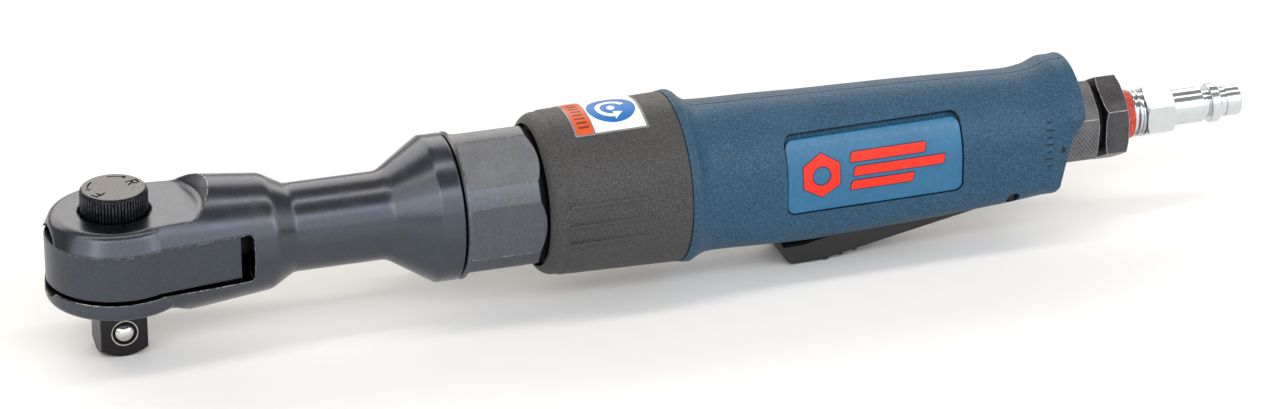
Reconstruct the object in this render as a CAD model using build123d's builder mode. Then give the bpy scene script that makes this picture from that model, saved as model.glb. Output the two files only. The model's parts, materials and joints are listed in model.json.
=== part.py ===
from build123d import *
import math
import os

# Half-inch air ratchet. Millimetres, +Z up. The origin is the centre of the square drive's end
# face. The tool axis runs along +X from the ratchet head to the air plug, AXIS_Z above the origin,
# and the drive axis is Z. LEVER_PIVOT_DROP, LABEL_RISE and the handle's stations are measured from
# the tool axis.

os.makedirs("parts", exist_ok=True)

# Driving dimensions
AXIS_Z = 28.0
RUN = 0.05  # radial clearance of a running fit

# Ratchet head
HEAD_R = 19.3
HEAD_TOP = AXIS_Z + 11.9
HEAD_BOTTOM = AXIS_Z - 12.1
SLOT_TOP = AXIS_Z + 6.4
SLOT_BOTTOM = AXIS_Z - 7.1
SLOT_END = 33.5
SPOT_FACE_R = 22.0
LOWER_FACE_R = 17.4
NECK_R = 11.87
NECK_BORE_R = 9.7
BELL_R = 19.8
BELL_END = 90.0
KNOB_HOLE_R = 9.75
ANVIL_HOLE_R = 13.6
RING_GROOVE_R = 14.5

# Square drive
SQUARE = 12.7
BALL_R = 3.1
BALL_Z = 6.8
BALL_Y = -4.6
SEAT_DEPTH = 1.0

# Yoke, pawls and reverse knob
YOKE_R = 18.7
YOKE_END = 30.3
YOKE_TAIL = 14.0
YOKE_TOP = AXIS_Z + 6.3
YOKE_BOTTOM = AXIS_Z - 6.2
FORK_GAP = 9.4
FORK_START = 20.5
RATCHET_TEETH = 36
RATCHET_TIP_R = 13.6
RATCHET_ROOT_R = 14.6
PAWL_PIN_X = 9.4
PAWL_PIN_R = 1.5
KNOB_R = 9.0
KNOB_TOP = AXIS_Z + 18.3
KNOB_RIBS = 64
STEM_R = 3.95

# Crankshaft and planetary gears
CRANK_THROW = 2.2
CRANK_PIN_R = 3.2
CRANK_JOURNAL_R = 6.0
MODULE = 0.5
SUN_TEETH = 12
PLANET_TEETH = 18
RING_TEETH = SUN_TEETH + 2 * PLANET_TEETH
PLANET_COUNT = 3
PLANET_ORBIT = MODULE * (SUN_TEETH + PLANET_TEETH) / 2
PLANET_PIN_R = 1.5
PLANET_START = 97.6
PLANET_END = 106.6
RING_GEAR_R = 13.65
CRANK_BEARING_R = 13.0

# Clamp nut
NUT_START = 90.5
NUT_END = 113.4
NUT_R = 19.9
NUT_FLATS = 36.8
NUT_FLAT_WIDTH = 14.9
NUT_FLAT_ANGLE = 57.0
NUT_THREAD_R = 16.0

# Vane motor
MOTOR_BORE_R = 15.0
CYLINDER_BORE_R = 11.5
CYLINDER_OFFSET = 0.9
CYLINDER_START = 125.5
CYLINDER_END = 166.4
ROTOR_R = 9.9
VANE_COUNT = 4
VANE_THICK = 1.8
VANE_ROOT = 4.6
VANE_TIP = 9.8
ROTOR_JOURNAL_R = 4.0
ROTOR_TAIL_R = 3.5

# Motor housing and sleeve
HOUSING_START = 114.0
HOUSING_R = 17.5
HOUSING_NECK_R = 14.0
HOUSING_END = 262.0
REAR_PLATE_END = 172.4
SLEEVE_START = 113.1
SLEEVE_END = 151.7
SLEEVE_FRONT_R = 22.3
SLEEVE_REAR_R = 23.1
SLEEVE_INNER_R = 21.2
SLEEVE_LIP = 5.2

# Handle: station along the axis, height above, half width, depth below, lower corner radius
GRIP_START = 151.9
GRIP_END = 266.7
GRIP_STATIONS = [
    (151.9, 23.3, 23.3, 22.8, 22.0),
    (153.7, 23.5, 23.5, 23.0, 22.0),
    (156.2, 21.4, 21.7, 21.9, 20.0),
    (159.1, 20.0, 20.3, 20.8, 18.0),
    (164.0, 19.8, 19.6, 19.9, 15.0),
    (176.0, 19.6, 19.0, 19.0, 10.5),
    (190.0, 19.1, 18.5, 18.7, 8.3),
    (220.0, 18.4, 17.8, 17.9, 8.4),
    (241.0, 17.6, 17.1, 17.2, 8.8),
    (251.0, 17.2, 17.2, 16.5, 9.2),
    (257.0, 17.9, 17.8, 15.9, 9.8),
    (262.0, 19.6, 18.9, 15.6, 10.0),
    (266.7, 19.6, 19.1, 15.4, 10.0),
]
GRIP_SPLIT = 0.14
LABEL_SPAN = (179.8, 231.0)
LABEL_RISE = (-7.8, 13.8)
LABEL_CORNER = 2.5
LABEL_RECESS = 1.4
LABEL_INSET = 0.45
LABEL_TOP_GAP = 1.3
PAD_START = 239.3
PAD_RISE = 8.2
PAD_FACE = 16.85

# Lever and throttle valve
LEVER_PIVOT_X = 246.5
LEVER_PIVOT_DROP = -13.5
LEVER_HALF = 8.0
LEVER_WALL = 1.5
LEVER_PIN_R = 1.75
POCKET_HALF = 8.7
VALVE_X = 232.0
PLUNGER_R = 1.5
VALVE_BORE_R = 4.5

# Air inlet
HEX_CORNER_R = 12.5
WASHER_START = 273.2
WASHER_END = 275.3
ADAPTER_END = 282.1
SEALANT_END = 286.0
INLET_THREAD_R = 8.4
ADAPTER_THREAD_R = 7.5
PLUG_THREAD_R = 6.58
PLUG_BORE_R = 2.6
PLUG_END = 319.0

TOOL_AXIS = Axis((0, 0, AXIS_Z), (1, 0, 0))
TOOL_SIDE = Plane(origin=(0, 0, AXIS_Z), x_dir=(1, 0, 0), z_dir=(0, -1, 0))


def across(x):
    """The plane across the tool axis at x. Its own x is +Y and its own y is +Z."""
    return Plane(origin=(x, 0, AXIS_Z), x_dir=(0, 1, 0), z_dir=(1, 0, 0))


def facing(angle, x=0.0, lift=0.0):
    """A plane along the tool whose normal points away from the axis, angle degrees from -Y to +Z."""
    turn = math.radians(angle)
    out = Vector(0, -math.cos(turn), math.sin(turn))
    return Plane(origin=Vector(x, 0, AXIS_Z) + out * lift, x_dir=(1, 0, 0), z_dir=out)


def outline(plane, points):
    """A closed face with straight edges on a plane."""
    with BuildSketch(plane) as face:
        with BuildLine():
            Polyline(*points, close=True)
        make_face()
    return face.sketch


def stepped(*steps):
    """The half outline of a turned piece from (start, end, radius) steps along the tool axis."""
    points = [(steps[0][0], 0)]
    for start, end, radius in steps:
        points += [(start, radius), (end, radius)]
    points.append((steps[-1][1], 0))
    return outline(TOOL_SIDE, points)


def ring(start, end, outer, inner):
    """The half outline of a plain ring around the tool axis."""
    return outline(TOOL_SIDE, [(start, inner), (start, outer), (end, outer), (end, inner)])


def gear_points(teeth, addendum, dedendum, widen, phase):
    """An involute gear's outline. widen is added to each side of a tooth at the pitch circle."""
    pitch_r = MODULE * teeth / 2
    base_r = pitch_r * math.cos(math.radians(20))
    half = math.pi / (2 * teeth) + widen / pitch_r

    def spread(radius):
        angle = math.acos(min(1, base_r / radius))
        at_pitch = math.radians(20)
        return half + math.tan(at_pitch) - at_pitch - math.tan(angle) + angle

    root_r = pitch_r - dedendum
    tip_r = pitch_r + addendum
    low_r = max(root_r, base_r)
    levels = [root_r] if root_r < base_r else []
    levels += [low_r + (tip_r - low_r) * step / 3 for step in range(4)]
    points = []
    for tooth in range(teeth):
        centre = math.radians(phase) + 2 * math.pi * tooth / teeth
        rising = [(r, centre - spread(max(r, base_r))) for r in levels]
        falling = [(r, centre + spread(max(r, base_r))) for r in reversed(levels)]
        points += [(r * math.cos(a), r * math.sin(a)) for r, a in rising + falling]
    return points


def tooth_face(teeth, addendum, dedendum, widen, phase):
    """A gear's outline as a flat face around the origin."""
    with BuildSketch() as face:
        with BuildLine():
            Polyline(*gear_points(teeth, addendum, dedendum, widen, phase), close=True)
        make_face()
    return face.sketch


def ratchet_points():
    """The yoke's bore: one straight-sided notch for each ratchet tooth."""
    notch = ((RATCHET_TIP_R, -4), (RATCHET_ROOT_R, -1), (RATCHET_ROOT_R, 1), (RATCHET_TIP_R, 4))
    points = []
    for tooth in range(RATCHET_TEETH):
        for radius, swing in notch:
            turn = math.radians(360 / RATCHET_TEETH * tooth + swing)
            points.append((radius * math.cos(turn), radius * math.sin(turn)))
    return points


def knurl_points():
    """The knob's rim: a fine rib with sloping sides, repeated all round."""
    valley_r = KNOB_R - 0.42
    rib = ((valley_r, -0.5), (valley_r, -0.3), (KNOB_R, -0.12), (KNOB_R, 0.12), (valley_r, 0.3))
    points = []
    for index in range(KNOB_RIBS):
        for radius, part_way in rib:
            turn = 2 * math.pi * (index + part_way) / KNOB_RIBS
            points.append((radius * math.cos(turn), radius * math.sin(turn)))
    return points


def coil(radius, wire_r, height, turns):
    """A coil spring standing on the XY plane, made of wire of radius wire_r."""
    with BuildPart() as spring:
        with BuildLine() as path:
            Helix(pitch=height / turns, height=height, radius=radius)
        with BuildSketch(Plane(origin=path.line @ 0, z_dir=path.line % 0)):
            Circle(wire_r)
        sweep(is_frenet=True)
    return spring.part


def write(piece, name):
    """Labels a finished piece and writes it to its own file."""
    piece.part.label = name
    export_step(piece.part, f"parts/{name}.step")


# Ratchet housing: the vertical drum of the head, and the forging behind it turned about the tool
# axis down to the neck and out to the bell.
with BuildPart() as ratchet_housing:
    with BuildSketch(Plane.XZ):
        with BuildLine():
            FilletPolyline(
                (0, HEAD_BOTTOM),
                (HEAD_R - 0.3, HEAD_BOTTOM),
                (HEAD_R, SLOT_TOP),
                (16.8, HEAD_TOP),
                (0, HEAD_TOP),
                radius=[2.2, 2.0, 2.8],
            )
            Line((0, HEAD_TOP), (0, HEAD_BOTTOM))
        make_face()
    revolve(axis=Axis.Z)
    with BuildSketch(TOOL_SIDE):
        with BuildLine():
            Line((0, 0), (0, 19.1))
            FilletPolyline(
                (0, 19.1),
                (22, 17.5),
                (39.8, 15.5),
                (46.2, NECK_R),
                (71.7, NECK_R),
                (84.2, BELL_R),
                (BELL_END - 0.4, BELL_R),
                (BELL_END, BELL_R - 0.4),
                radius=[30, 5, 4, 5, 1.6, 0.3],
            )
            Line((BELL_END, BELL_R - 0.4), (BELL_END, 0))
            Line((BELL_END, 0), (0, 0))
        make_face()
    revolve(axis=TOOL_AXIS)
    # Flats milled on the top and the underside, each ending at a steep curved wall
    for level, way, reach in ((HEAD_TOP, 1, SPOT_FACE_R), (HEAD_BOTTOM, -1, LOWER_FACE_R)):
        with BuildSketch(Plane.XZ):
            with BuildLine():
                Polyline(
                    (0, level),
                    (reach, level),
                    (reach + 1.0, level + 0.4 * way),
                    (reach + 3.2, level + 7.0 * way),
                    (reach + 3.2, level + 12.0 * way),
                    (0, level + 12.0 * way),
                    close=True,
                )
            make_face()
        revolve(axis=Axis.Z, mode=Mode.SUBTRACT)
    # The yoke's slot, open to the front and to both sides
    with BuildSketch(Plane.XZ) as slot:
        with Locations(((SLOT_END - 30) / 2, (SLOT_TOP + SLOT_BOTTOM) / 2)):
            Rectangle(SLOT_END + 30, SLOT_TOP - SLOT_BOTTOM)
        fillet(slot.vertices().group_by(Axis.X)[-1], 1.3)
    extrude(amount=30, both=True, mode=Mode.SUBTRACT)
    # Bores along the tool axis: neck, crank bearing seat, thread for the clamp nut
    revolve(
        stepped((-30, 76.5, NECK_BORE_R), (76.5, 84.6, CRANK_BEARING_R), (84.6, 92, NUT_THREAD_R + RUN)),
        axis=TOOL_AXIS,
        mode=Mode.SUBTRACT,
    )
    with BuildSketch(Plane.XY.offset(AXIS_Z)):
        Circle(KNOB_HOLE_R)
    extrude(amount=20, mode=Mode.SUBTRACT)
    with BuildSketch(Plane.XY.offset(AXIS_Z)):
        Circle(ANVIL_HOLE_R)
    extrude(amount=-20, mode=Mode.SUBTRACT)
    with BuildSketch(Plane.XY.offset(17.4)):
        Circle(RING_GROOVE_R)
    extrude(amount=1.1, mode=Mode.SUBTRACT)
write(ratchet_housing, "ratchet_housing")

with BuildPart() as neck_bearing:
    revolve(ring(37, 49, NECK_BORE_R, CRANK_JOURNAL_R + RUN), axis=TOOL_AXIS)
write(neck_bearing, "neck_bearing")

with BuildPart() as crank_bearing:
    revolve(ring(76.8, 83.8, CRANK_BEARING_R, CRANK_JOURNAL_R + RUN), axis=TOOL_AXIS)
    for face_x, depth in ((76.8, 0.6), (83.8, -0.6)):
        with BuildSketch(across(face_x)):
            Circle(11.4)
            Circle(7.4, mode=Mode.SUBTRACT)
        extrude(amount=depth, mode=Mode.SUBTRACT)
write(crank_bearing, "crank_bearing")

# Yoke: a ring with internal ratchet teeth, and a fork behind it for the crank's drive bushing
with BuildPart() as yoke:
    with BuildSketch(Plane.XY.offset(YOKE_BOTTOM)):
        Circle(YOKE_R)
        with BuildLine():
            Polyline(
                (0, -YOKE_R),
                (8, -16.95),
                (YOKE_END, -YOKE_TAIL),
                (YOKE_END, YOKE_TAIL),
                (8, 16.95),
                (0, YOKE_R),
                close=True,
            )
        make_face()
        with Locations(((FORK_START + YOKE_END + 1) / 2, 0)):
            Rectangle(YOKE_END + 1 - FORK_START, 2 * FORK_GAP, mode=Mode.SUBTRACT)
        with BuildLine():
            Polyline(*ratchet_points(), close=True)
        make_face(mode=Mode.SUBTRACT)
    extrude(amount=YOKE_TOP - YOKE_BOTTOM)
    chamfer(yoke.faces().sort_by(Axis.Z)[-1].outer_wire().edges(), 0.25)
    chamfer(yoke.faces().sort_by(Axis.Z)[0].outer_wire().edges(), 0.25)
write(yoke, "yoke")

# Anvil: square drive below, journals in both cheeks of the head, and two pockets for the pawls
with BuildPart() as anvil:
    with BuildSketch(Plane.XZ):
        with BuildLine():
            Polyline(
                (0, 14),
                (9.1, 14),
                (9.1, 19.3),
                (ANVIL_HOLE_R - RUN, 19.3),
                (ANVIL_HOLE_R - RUN, SLOT_BOTTOM),
                (RATCHET_TIP_R - 0.1, SLOT_BOTTOM),
                (RATCHET_TIP_R - 0.1, SLOT_TOP - 0.1),
                (KNOB_HOLE_R - RUN, SLOT_TOP - 0.1),
                (KNOB_HOLE_R - RUN, HEAD_TOP - 1.7),
                (0, HEAD_TOP - 1.7),
                close=True,
            )
        make_face()
    revolve(axis=Axis.Z)
    with BuildSketch(Plane.XY):
        RectangleRounded(SQUARE, SQUARE, 0.9)
    extrude(amount=15)
    # The end of the square is turned to a cone, which leaves curved lower edges on its faces
    with BuildSketch(Plane.XZ):
        with BuildLine():
            Polyline(
                (0, 0),
                (6.0, 0),
                (9.3, 2.45),
                (9.3, 16),
                (20, 16),
                (20, HEAD_TOP),
                (0, HEAD_TOP),
                close=True,
            )
        make_face()
    revolve(axis=Axis.Z, mode=Mode.INTERSECT)
    # A core is left between the pawl pockets, with a cross window for the knob's balls
    for side in (-1, 1):
        with BuildSketch(Plane.XY.offset(22.6)):
            with Locations((side * 13.1, 0)):
                Rectangle(13.8, 19)
        extrude(amount=10.7, mode=Mode.SUBTRACT)
    with BuildSketch(Plane.XY.offset(26)):
        Rectangle(16, 7.4)
    extrude(amount=4.4, mode=Mode.SUBTRACT)
    with BuildSketch(Plane.XY.offset(23.4)):
        Circle(STEM_R + RUN)
    extrude(amount=20, mode=Mode.SUBTRACT)
    for side in (-1, 1):
        with BuildSketch(Plane.XY.offset(21.7)):
            with Locations((side * PAWL_PIN_X, 0)):
                Circle(PAWL_PIN_R)
        extrude(amount=12.4, mode=Mode.SUBTRACT)
    # Cross bore for the retaining ball, stepped for its seat ring
    with BuildSketch(Plane.XZ.offset(SQUARE / 2 + 1)):
        with Locations((0, BALL_Z)):
            Circle(BALL_R + 0.15)
    extrude(amount=-11.8, mode=Mode.SUBTRACT)
    with BuildSketch(Plane.XZ.offset(SQUARE / 2 + 1)):
        with Locations((0, BALL_Z)):
            Circle(3.6)
    extrude(amount=-1 - SEAT_DEPTH, mode=Mode.SUBTRACT)
write(anvil, "anvil")

with BuildPart() as thrust_washer:
    with BuildSketch(Plane.XY.offset(18.55)):
        Circle(13.5)
        Circle(9.3, mode=Mode.SUBTRACT)
    extrude(amount=0.7)
write(thrust_washer, "thrust_washer")

# Retaining ring: a split spring ring in the groove of the lower cheek
with BuildPart() as anvil_retaining_ring:
    with BuildSketch(Plane.XY.offset(17.42)):
        Circle(14.4)
        Circle(11.2, mode=Mode.SUBTRACT)
        with Locations((-13, 0)):
            Rectangle(6, 5, mode=Mode.SUBTRACT)
        for side in (-1, 1):
            with Locations((-11.6, side * 4.2)):
                Circle(1.9)
                Circle(0.8, mode=Mode.SUBTRACT)
    extrude(amount=1.06)
write(anvil_retaining_ring, "anvil_retaining_ring")

# Pawls: two rockers with teeth at both ends. The knob's balls tilt them one way or the other.
for name, side in (("pawl_front", -1), ("pawl_rear", 1)):
    with BuildPart() as pawl:
        with BuildSketch(Plane.XY.offset(22.8)):
            Circle(13.0)
            with Locations((side * 13.6, 0)):
                Rectangle(13.6, 17.6, mode=Mode.INTERSECT)
            with Locations((side * PAWL_PIN_X, 0)):
                Circle(PAWL_PIN_R + RUN, mode=Mode.SUBTRACT)
            for end in (-1, 1):
                for notch in (26.5, 35.0):
                    turn = math.radians(end * notch)
                    with Locations((side * 13.5 * math.cos(turn), 13.5 * math.sin(turn))):
                        Circle(0.9, mode=Mode.SUBTRACT)
        extrude(amount=10.3)
    write(pawl, name)

with BuildPart() as pawl_pins:
    for side in (-1, 1):
        with BuildSketch(Plane.XY.offset(21.7)):
            with Locations((side * PAWL_PIN_X, 0)):
                Circle(PAWL_PIN_R)
        extrude(amount=12.4)
write(pawl_pins, "pawl_pins")

# Reverse knob: a finely ribbed cap on a stem that reaches down between the pawls
with BuildPart() as reverse_knob:
    with BuildSketch(Plane.XY.offset(HEAD_TOP - 1.6)):
        with BuildLine():
            Polyline(*knurl_points(), close=True)
        make_face()
    extrude(amount=KNOB_TOP - HEAD_TOP + 1.6)
    with BuildSketch(Plane.XZ):
        with BuildLine():
            Polyline(
                (0, HEAD_TOP - 2),
                (KNOB_R + 0.2, HEAD_TOP - 2),
                (KNOB_R + 0.2, KNOB_TOP - 0.9),
                (KNOB_R - 0.7, KNOB_TOP),
                (0, KNOB_TOP),
                close=True,
            )
        make_face()
    revolve(axis=Axis.Z, mode=Mode.INTERSECT)
    with BuildSketch(Plane.XY.offset(23.6)):
        Circle(STEM_R)
    extrude(amount=HEAD_TOP - 1 - 23.6)
    with BuildSketch(Plane.YZ.offset(-10)):
        with Locations((0, AXIS_Z + 0.2)):
            Circle(1.7)
    extrude(amount=20, mode=Mode.SUBTRACT)
write(reverse_knob, "reverse_knob")

with BuildPart() as knob_balls:
    with Locations((-4.3, 0, AXIS_Z + 0.2), (4.3, 0, AXIS_Z + 0.2)):
        Sphere(1.6)
write(knob_balls, "knob_balls")

with BuildPart() as knob_spring:
    add(Plane(origin=(-2.0, 0, AXIS_Z + 0.2), z_dir=(1, 0, 0)) * coil(1.15, 0.25, 4.0, 5))
write(knob_spring, "knob_spring")

with BuildPart() as drive_ball:
    with Locations((0, BALL_Y, BALL_Z)):
        Sphere(BALL_R)
write(drive_ball, "drive_ball")

with BuildPart() as drive_ball_ring:
    with BuildSketch(Plane.XY):
        with BuildLine():
            Polyline(
                (2.72, SQUARE / 2),
                (3.6, SQUARE / 2),
                (3.6, SQUARE / 2 - SEAT_DEPTH),
                (3.2, SQUARE / 2 - SEAT_DEPTH),
                close=True,
            )
        make_face()
    revolve(axis=Axis.Y)
    drive_ball_ring.part = Pos(0, 0, BALL_Z) * mirror(drive_ball_ring.part, about=Plane.XZ)
write(drive_ball_ring, "drive_ball_ring")

with BuildPart() as drive_ball_spring:
    add(Plane(origin=(0, -1.1, BALL_Z), z_dir=(0, 1, 0)) * coil(2.2, 0.35, 4.9, 4))
write(drive_ball_spring, "drive_ball_spring")

# Crankshaft: eccentric pin in front, planet carrier behind
with BuildPart() as crankshaft:
    revolve(
        stepped(
            (31.6, 36, 8.8),
            (36, 50, CRANK_JOURNAL_R),
            (50, 75, 5.0),
            (75, 85, CRANK_JOURNAL_R),
            (85, 95.6, 11.8),
        ),
        axis=TOOL_AXIS,
    )
    with BuildSketch(across(22.5)):
        with Locations((0, CRANK_THROW)):
            Circle(CRANK_PIN_R)
    extrude(amount=9.1)
    with BuildSketch(across(90)):
        Circle(4.2)
        for planet in range(PLANET_COUNT):
            with PolarLocations(PLANET_ORBIT, 1, start_angle=90 + 360 / PLANET_COUNT * planet):
                Circle(PLANET_PIN_R)
    extrude(amount=8, mode=Mode.SUBTRACT)
    # Balance cut on the pin's side of the web
    with BuildSketch(across(31.6)):
        with Locations((0, 7.6)):
            Rectangle(20, 3.0)
    extrude(amount=4.4, mode=Mode.SUBTRACT)
write(crankshaft, "crankshaft")

with BuildPart() as drive_bushing:
    with BuildSketch(TOOL_SIDE):
        with BuildLine():
            Polyline(
                (22.8, CRANK_PIN_R + RUN),
                (22.8, 3.7),
                (24.0, 4.0),
                (28.2, 4.0),
                (29.4, 3.7),
                (29.4, CRANK_PIN_R + RUN),
                close=True,
            )
        make_face()
    revolve(axis=TOOL_AXIS)
    drive_bushing.part = Pos(0, 0, CRANK_THROW) * drive_bushing.part
write(drive_bushing, "drive_bushing")

with BuildPart() as planet_pins:
    with BuildSketch(across(90)):
        with PolarLocations(PLANET_ORBIT, PLANET_COUNT, start_angle=90):
            Circle(PLANET_PIN_R)
    extrude(amount=PLANET_END + 0.6 - 90)
write(planet_pins, "planet_pins")

# Planet gears. Each is turned so that its gaps take the teeth of the sun, which has one on +Y.
for planet in range(PLANET_COUNT):
    seat = 90 + 360 / PLANET_COUNT * planet
    phase = seat + 180 + seat * SUN_TEETH / PLANET_TEETH + 180 / PLANET_TEETH
    centre = (PLANET_ORBIT * math.cos(math.radians(seat)), PLANET_ORBIT * math.sin(math.radians(seat)))
    with BuildPart() as planet_gear:
        with BuildSketch(across(PLANET_START)):
            with Locations(centre):
                add(tooth_face(PLANET_TEETH, 0.4, 0.62, -0.035, phase))
                Circle(PLANET_PIN_R + RUN, mode=Mode.SUBTRACT)
        extrude(amount=PLANET_END - PLANET_START)
    write(planet_gear, f"planet_gear_{planet + 1}")

# Ring gear: fixed in the clamp nut, in mesh with the first planet on the line through its pin
with BuildPart() as ring_gear:
    first_gap = 90 + 180 + 90 * SUN_TEETH / PLANET_TEETH
    ring_phase = 90 + (first_gap - 90) * PLANET_TEETH / RING_TEETH + 180 / RING_TEETH
    with BuildSketch(across(PLANET_START - 1)):
        Circle(RING_GEAR_R)
        add(tooth_face(RING_TEETH, 0.6, 0.45, 0.045, ring_phase), mode=Mode.SUBTRACT)
    extrude(amount=PLANET_END - PLANET_START + 2)
write(ring_gear, "ring_gear")

# Clamp nut: threaded spigots at both ends and six milled flats between turned shoulders
with BuildPart() as clamp_nut:
    with BuildSketch(TOOL_SIDE):
        with BuildLine():
            Polyline(
                (85.2, RING_GEAR_R),
                (85.2, NUT_THREAD_R - 0.6),
                (85.8, NUT_THREAD_R),
                (NUT_START, NUT_THREAD_R),
                (NUT_START, NUT_R - 0.6),
                (NUT_START + 0.6, NUT_R),
                (NUT_END - 2.8, NUT_R),
                (NUT_END, NUT_R - 2.2),
                (HOUSING_START, NUT_R - 2.2),
                (HOUSING_START, MOTOR_BORE_R),
                (118, MOTOR_BORE_R),
                (118, RING_GEAR_R),
                close=True,
            )
        make_face()
    revolve(axis=TOOL_AXIS)
    for flat in range(6):
        with BuildSketch(facing(NUT_FLAT_ANGLE + 60 * flat, lift=NUT_FLATS / 2)) as milled:
            with Locations(((NUT_START + 1.0 + NUT_END + 4) / 2, 0)):
                Rectangle(NUT_END + 4 - NUT_START - 1.0, NUT_FLAT_WIDTH)
            fillet(milled.vertices().group_by(Axis.X)[0], 1.3)
        extrude(amount=5, mode=Mode.SUBTRACT)
write(clamp_nut, "clamp_nut")

with BuildPart() as nut_seal_ring:
    revolve(ring(BELL_END + 0.05, NUT_START, 17.6, NUT_THREAD_R + 0.1), axis=TOOL_AXIS)
write(nut_seal_ring, "nut_seal_ring")

# Rotor with the sun pinion on its front shaft and slots for the vanes
with BuildPart() as rotor:
    revolve(
        stepped(
            (97.2, 108.4, MODULE * SUN_TEETH / 2 - 0.64),
            (108.4, 117.6, 3.4),
            (117.6, 126.0, ROTOR_JOURNAL_R),
            (126.0, 165.8, ROTOR_R),
            (165.8, 172.0, ROTOR_TAIL_R),
        ),
        axis=TOOL_AXIS,
    )
    with BuildSketch(across(97.2)):
        add(tooth_face(SUN_TEETH, 0.5, 0.64, -0.035, 0.0))
    extrude(amount=11.2)
    with BuildSketch(across(126.0)):
        with PolarLocations((VANE_ROOT - 0.2 + ROTOR_R + 1) / 2, VANE_COUNT, start_angle=45):
            Rectangle(ROTOR_R + 1 - VANE_ROOT + 0.2, VANE_THICK + 0.1)
    extrude(amount=39.8, mode=Mode.SUBTRACT)
write(rotor, "rotor")

for vane_index in range(VANE_COUNT):
    with BuildPart() as vane:
        with BuildSketch(across(126.1)):
            with PolarLocations((VANE_ROOT + VANE_TIP) / 2, 1, start_angle=45 + 90 * vane_index):
                Rectangle(VANE_TIP - VANE_ROOT, VANE_THICK)
        extrude(amount=39.6)
    write(vane, f"vane_{vane_index + 1}")

# Cylinder liner: its bore stands above the rotor's axis, and slots let the air in and out
with BuildPart() as cylinder:
    with BuildSketch(across(CYLINDER_START)):
        Circle(MOTOR_BORE_R)
        with Locations((0, CYLINDER_OFFSET)):
            Circle(CYLINDER_BORE_R, mode=Mode.SUBTRACT)
        with Locations((0, -13.3)):
            Circle(0.9, mode=Mode.SUBTRACT)
    extrude(amount=CYLINDER_END - CYLINDER_START)
    with BuildSketch(facing(180)):
        with GridLocations(7, 3, 5, 2):
            with Locations((146, 0)):
                Circle(1.1)
    extrude(amount=16, mode=Mode.SUBTRACT)
write(cylinder, "cylinder")

with BuildPart() as cylinder_dowel:
    with BuildSketch(across(122.5)):
        with Locations((0, -13.3)):
            Circle(0.9)
    extrude(amount=CYLINDER_END + 3 - 122.5)
write(cylinder_dowel, "cylinder_dowel")

with BuildPart() as front_end_plate:
    revolve(ring(118.2, CYLINDER_START, MOTOR_BORE_R, ROTOR_JOURNAL_R + 0.3), axis=TOOL_AXIS)
    with BuildSketch(across(118.2)):
        Circle(9.0)
    extrude(amount=5.3, mode=Mode.SUBTRACT)
    with BuildSketch(across(122.5)):
        with Locations((0, -13.3)):
            Circle(0.9)
    extrude(amount=4, mode=Mode.SUBTRACT)
write(front_end_plate, "front_end_plate")

with BuildPart() as rear_end_plate:
    revolve(ring(CYLINDER_END, REAR_PLATE_END, MOTOR_BORE_R, ROTOR_TAIL_R + 0.3), axis=TOOL_AXIS)
    with BuildSketch(across(CYLINDER_END + 2)):
        Circle(8.0)
    extrude(amount=6, mode=Mode.SUBTRACT)
    with BuildSketch(across(CYLINDER_END)):
        with Locations((0, -13.3)):
            Circle(0.9)
    extrude(amount=3, mode=Mode.SUBTRACT)
    with BuildSketch(across(CYLINDER_END)):
        with PolarLocations(10.8, 3, start_angle=60, angular_range=60):
            Circle(1.4)
    extrude(amount=8, mode=Mode.SUBTRACT)
write(rear_end_plate, "rear_end_plate")

for name, start, outer, inner in (
    ("front_rotor_bearing", 118.4, 9.0, ROTOR_JOURNAL_R),
    ("rear_rotor_bearing", CYLINDER_END + 2, 8.0, ROTOR_TAIL_R),
):
    with BuildPart() as bearing:
        revolve(ring(start, start + 4, outer, inner + RUN), axis=TOOL_AXIS)
        with BuildSketch(across(start)):
            Circle(outer - 1.2)
            Circle(inner + 1.2, mode=Mode.SUBTRACT)
        extrude(amount=0.4, mode=Mode.SUBTRACT)
    write(bearing, name)


def lever_pocket():
    """The space under the handle that the lever moves up into."""
    with BuildPart() as pocket:
        with BuildSketch(TOOL_SIDE):
            with BuildLine():
                Polyline(
                    (176.5, -30),
                    (176.5, -14.6),
                    (240.0, -12.2),
                    (243.0, -9.8),
                    (250.0, -9.8),
                    (251.0, -12.0),
                    (251.0, -30),
                    close=True,
                )
            make_face()
        extrude(amount=POCKET_HALF, both=True)
    return pocket.part


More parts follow.
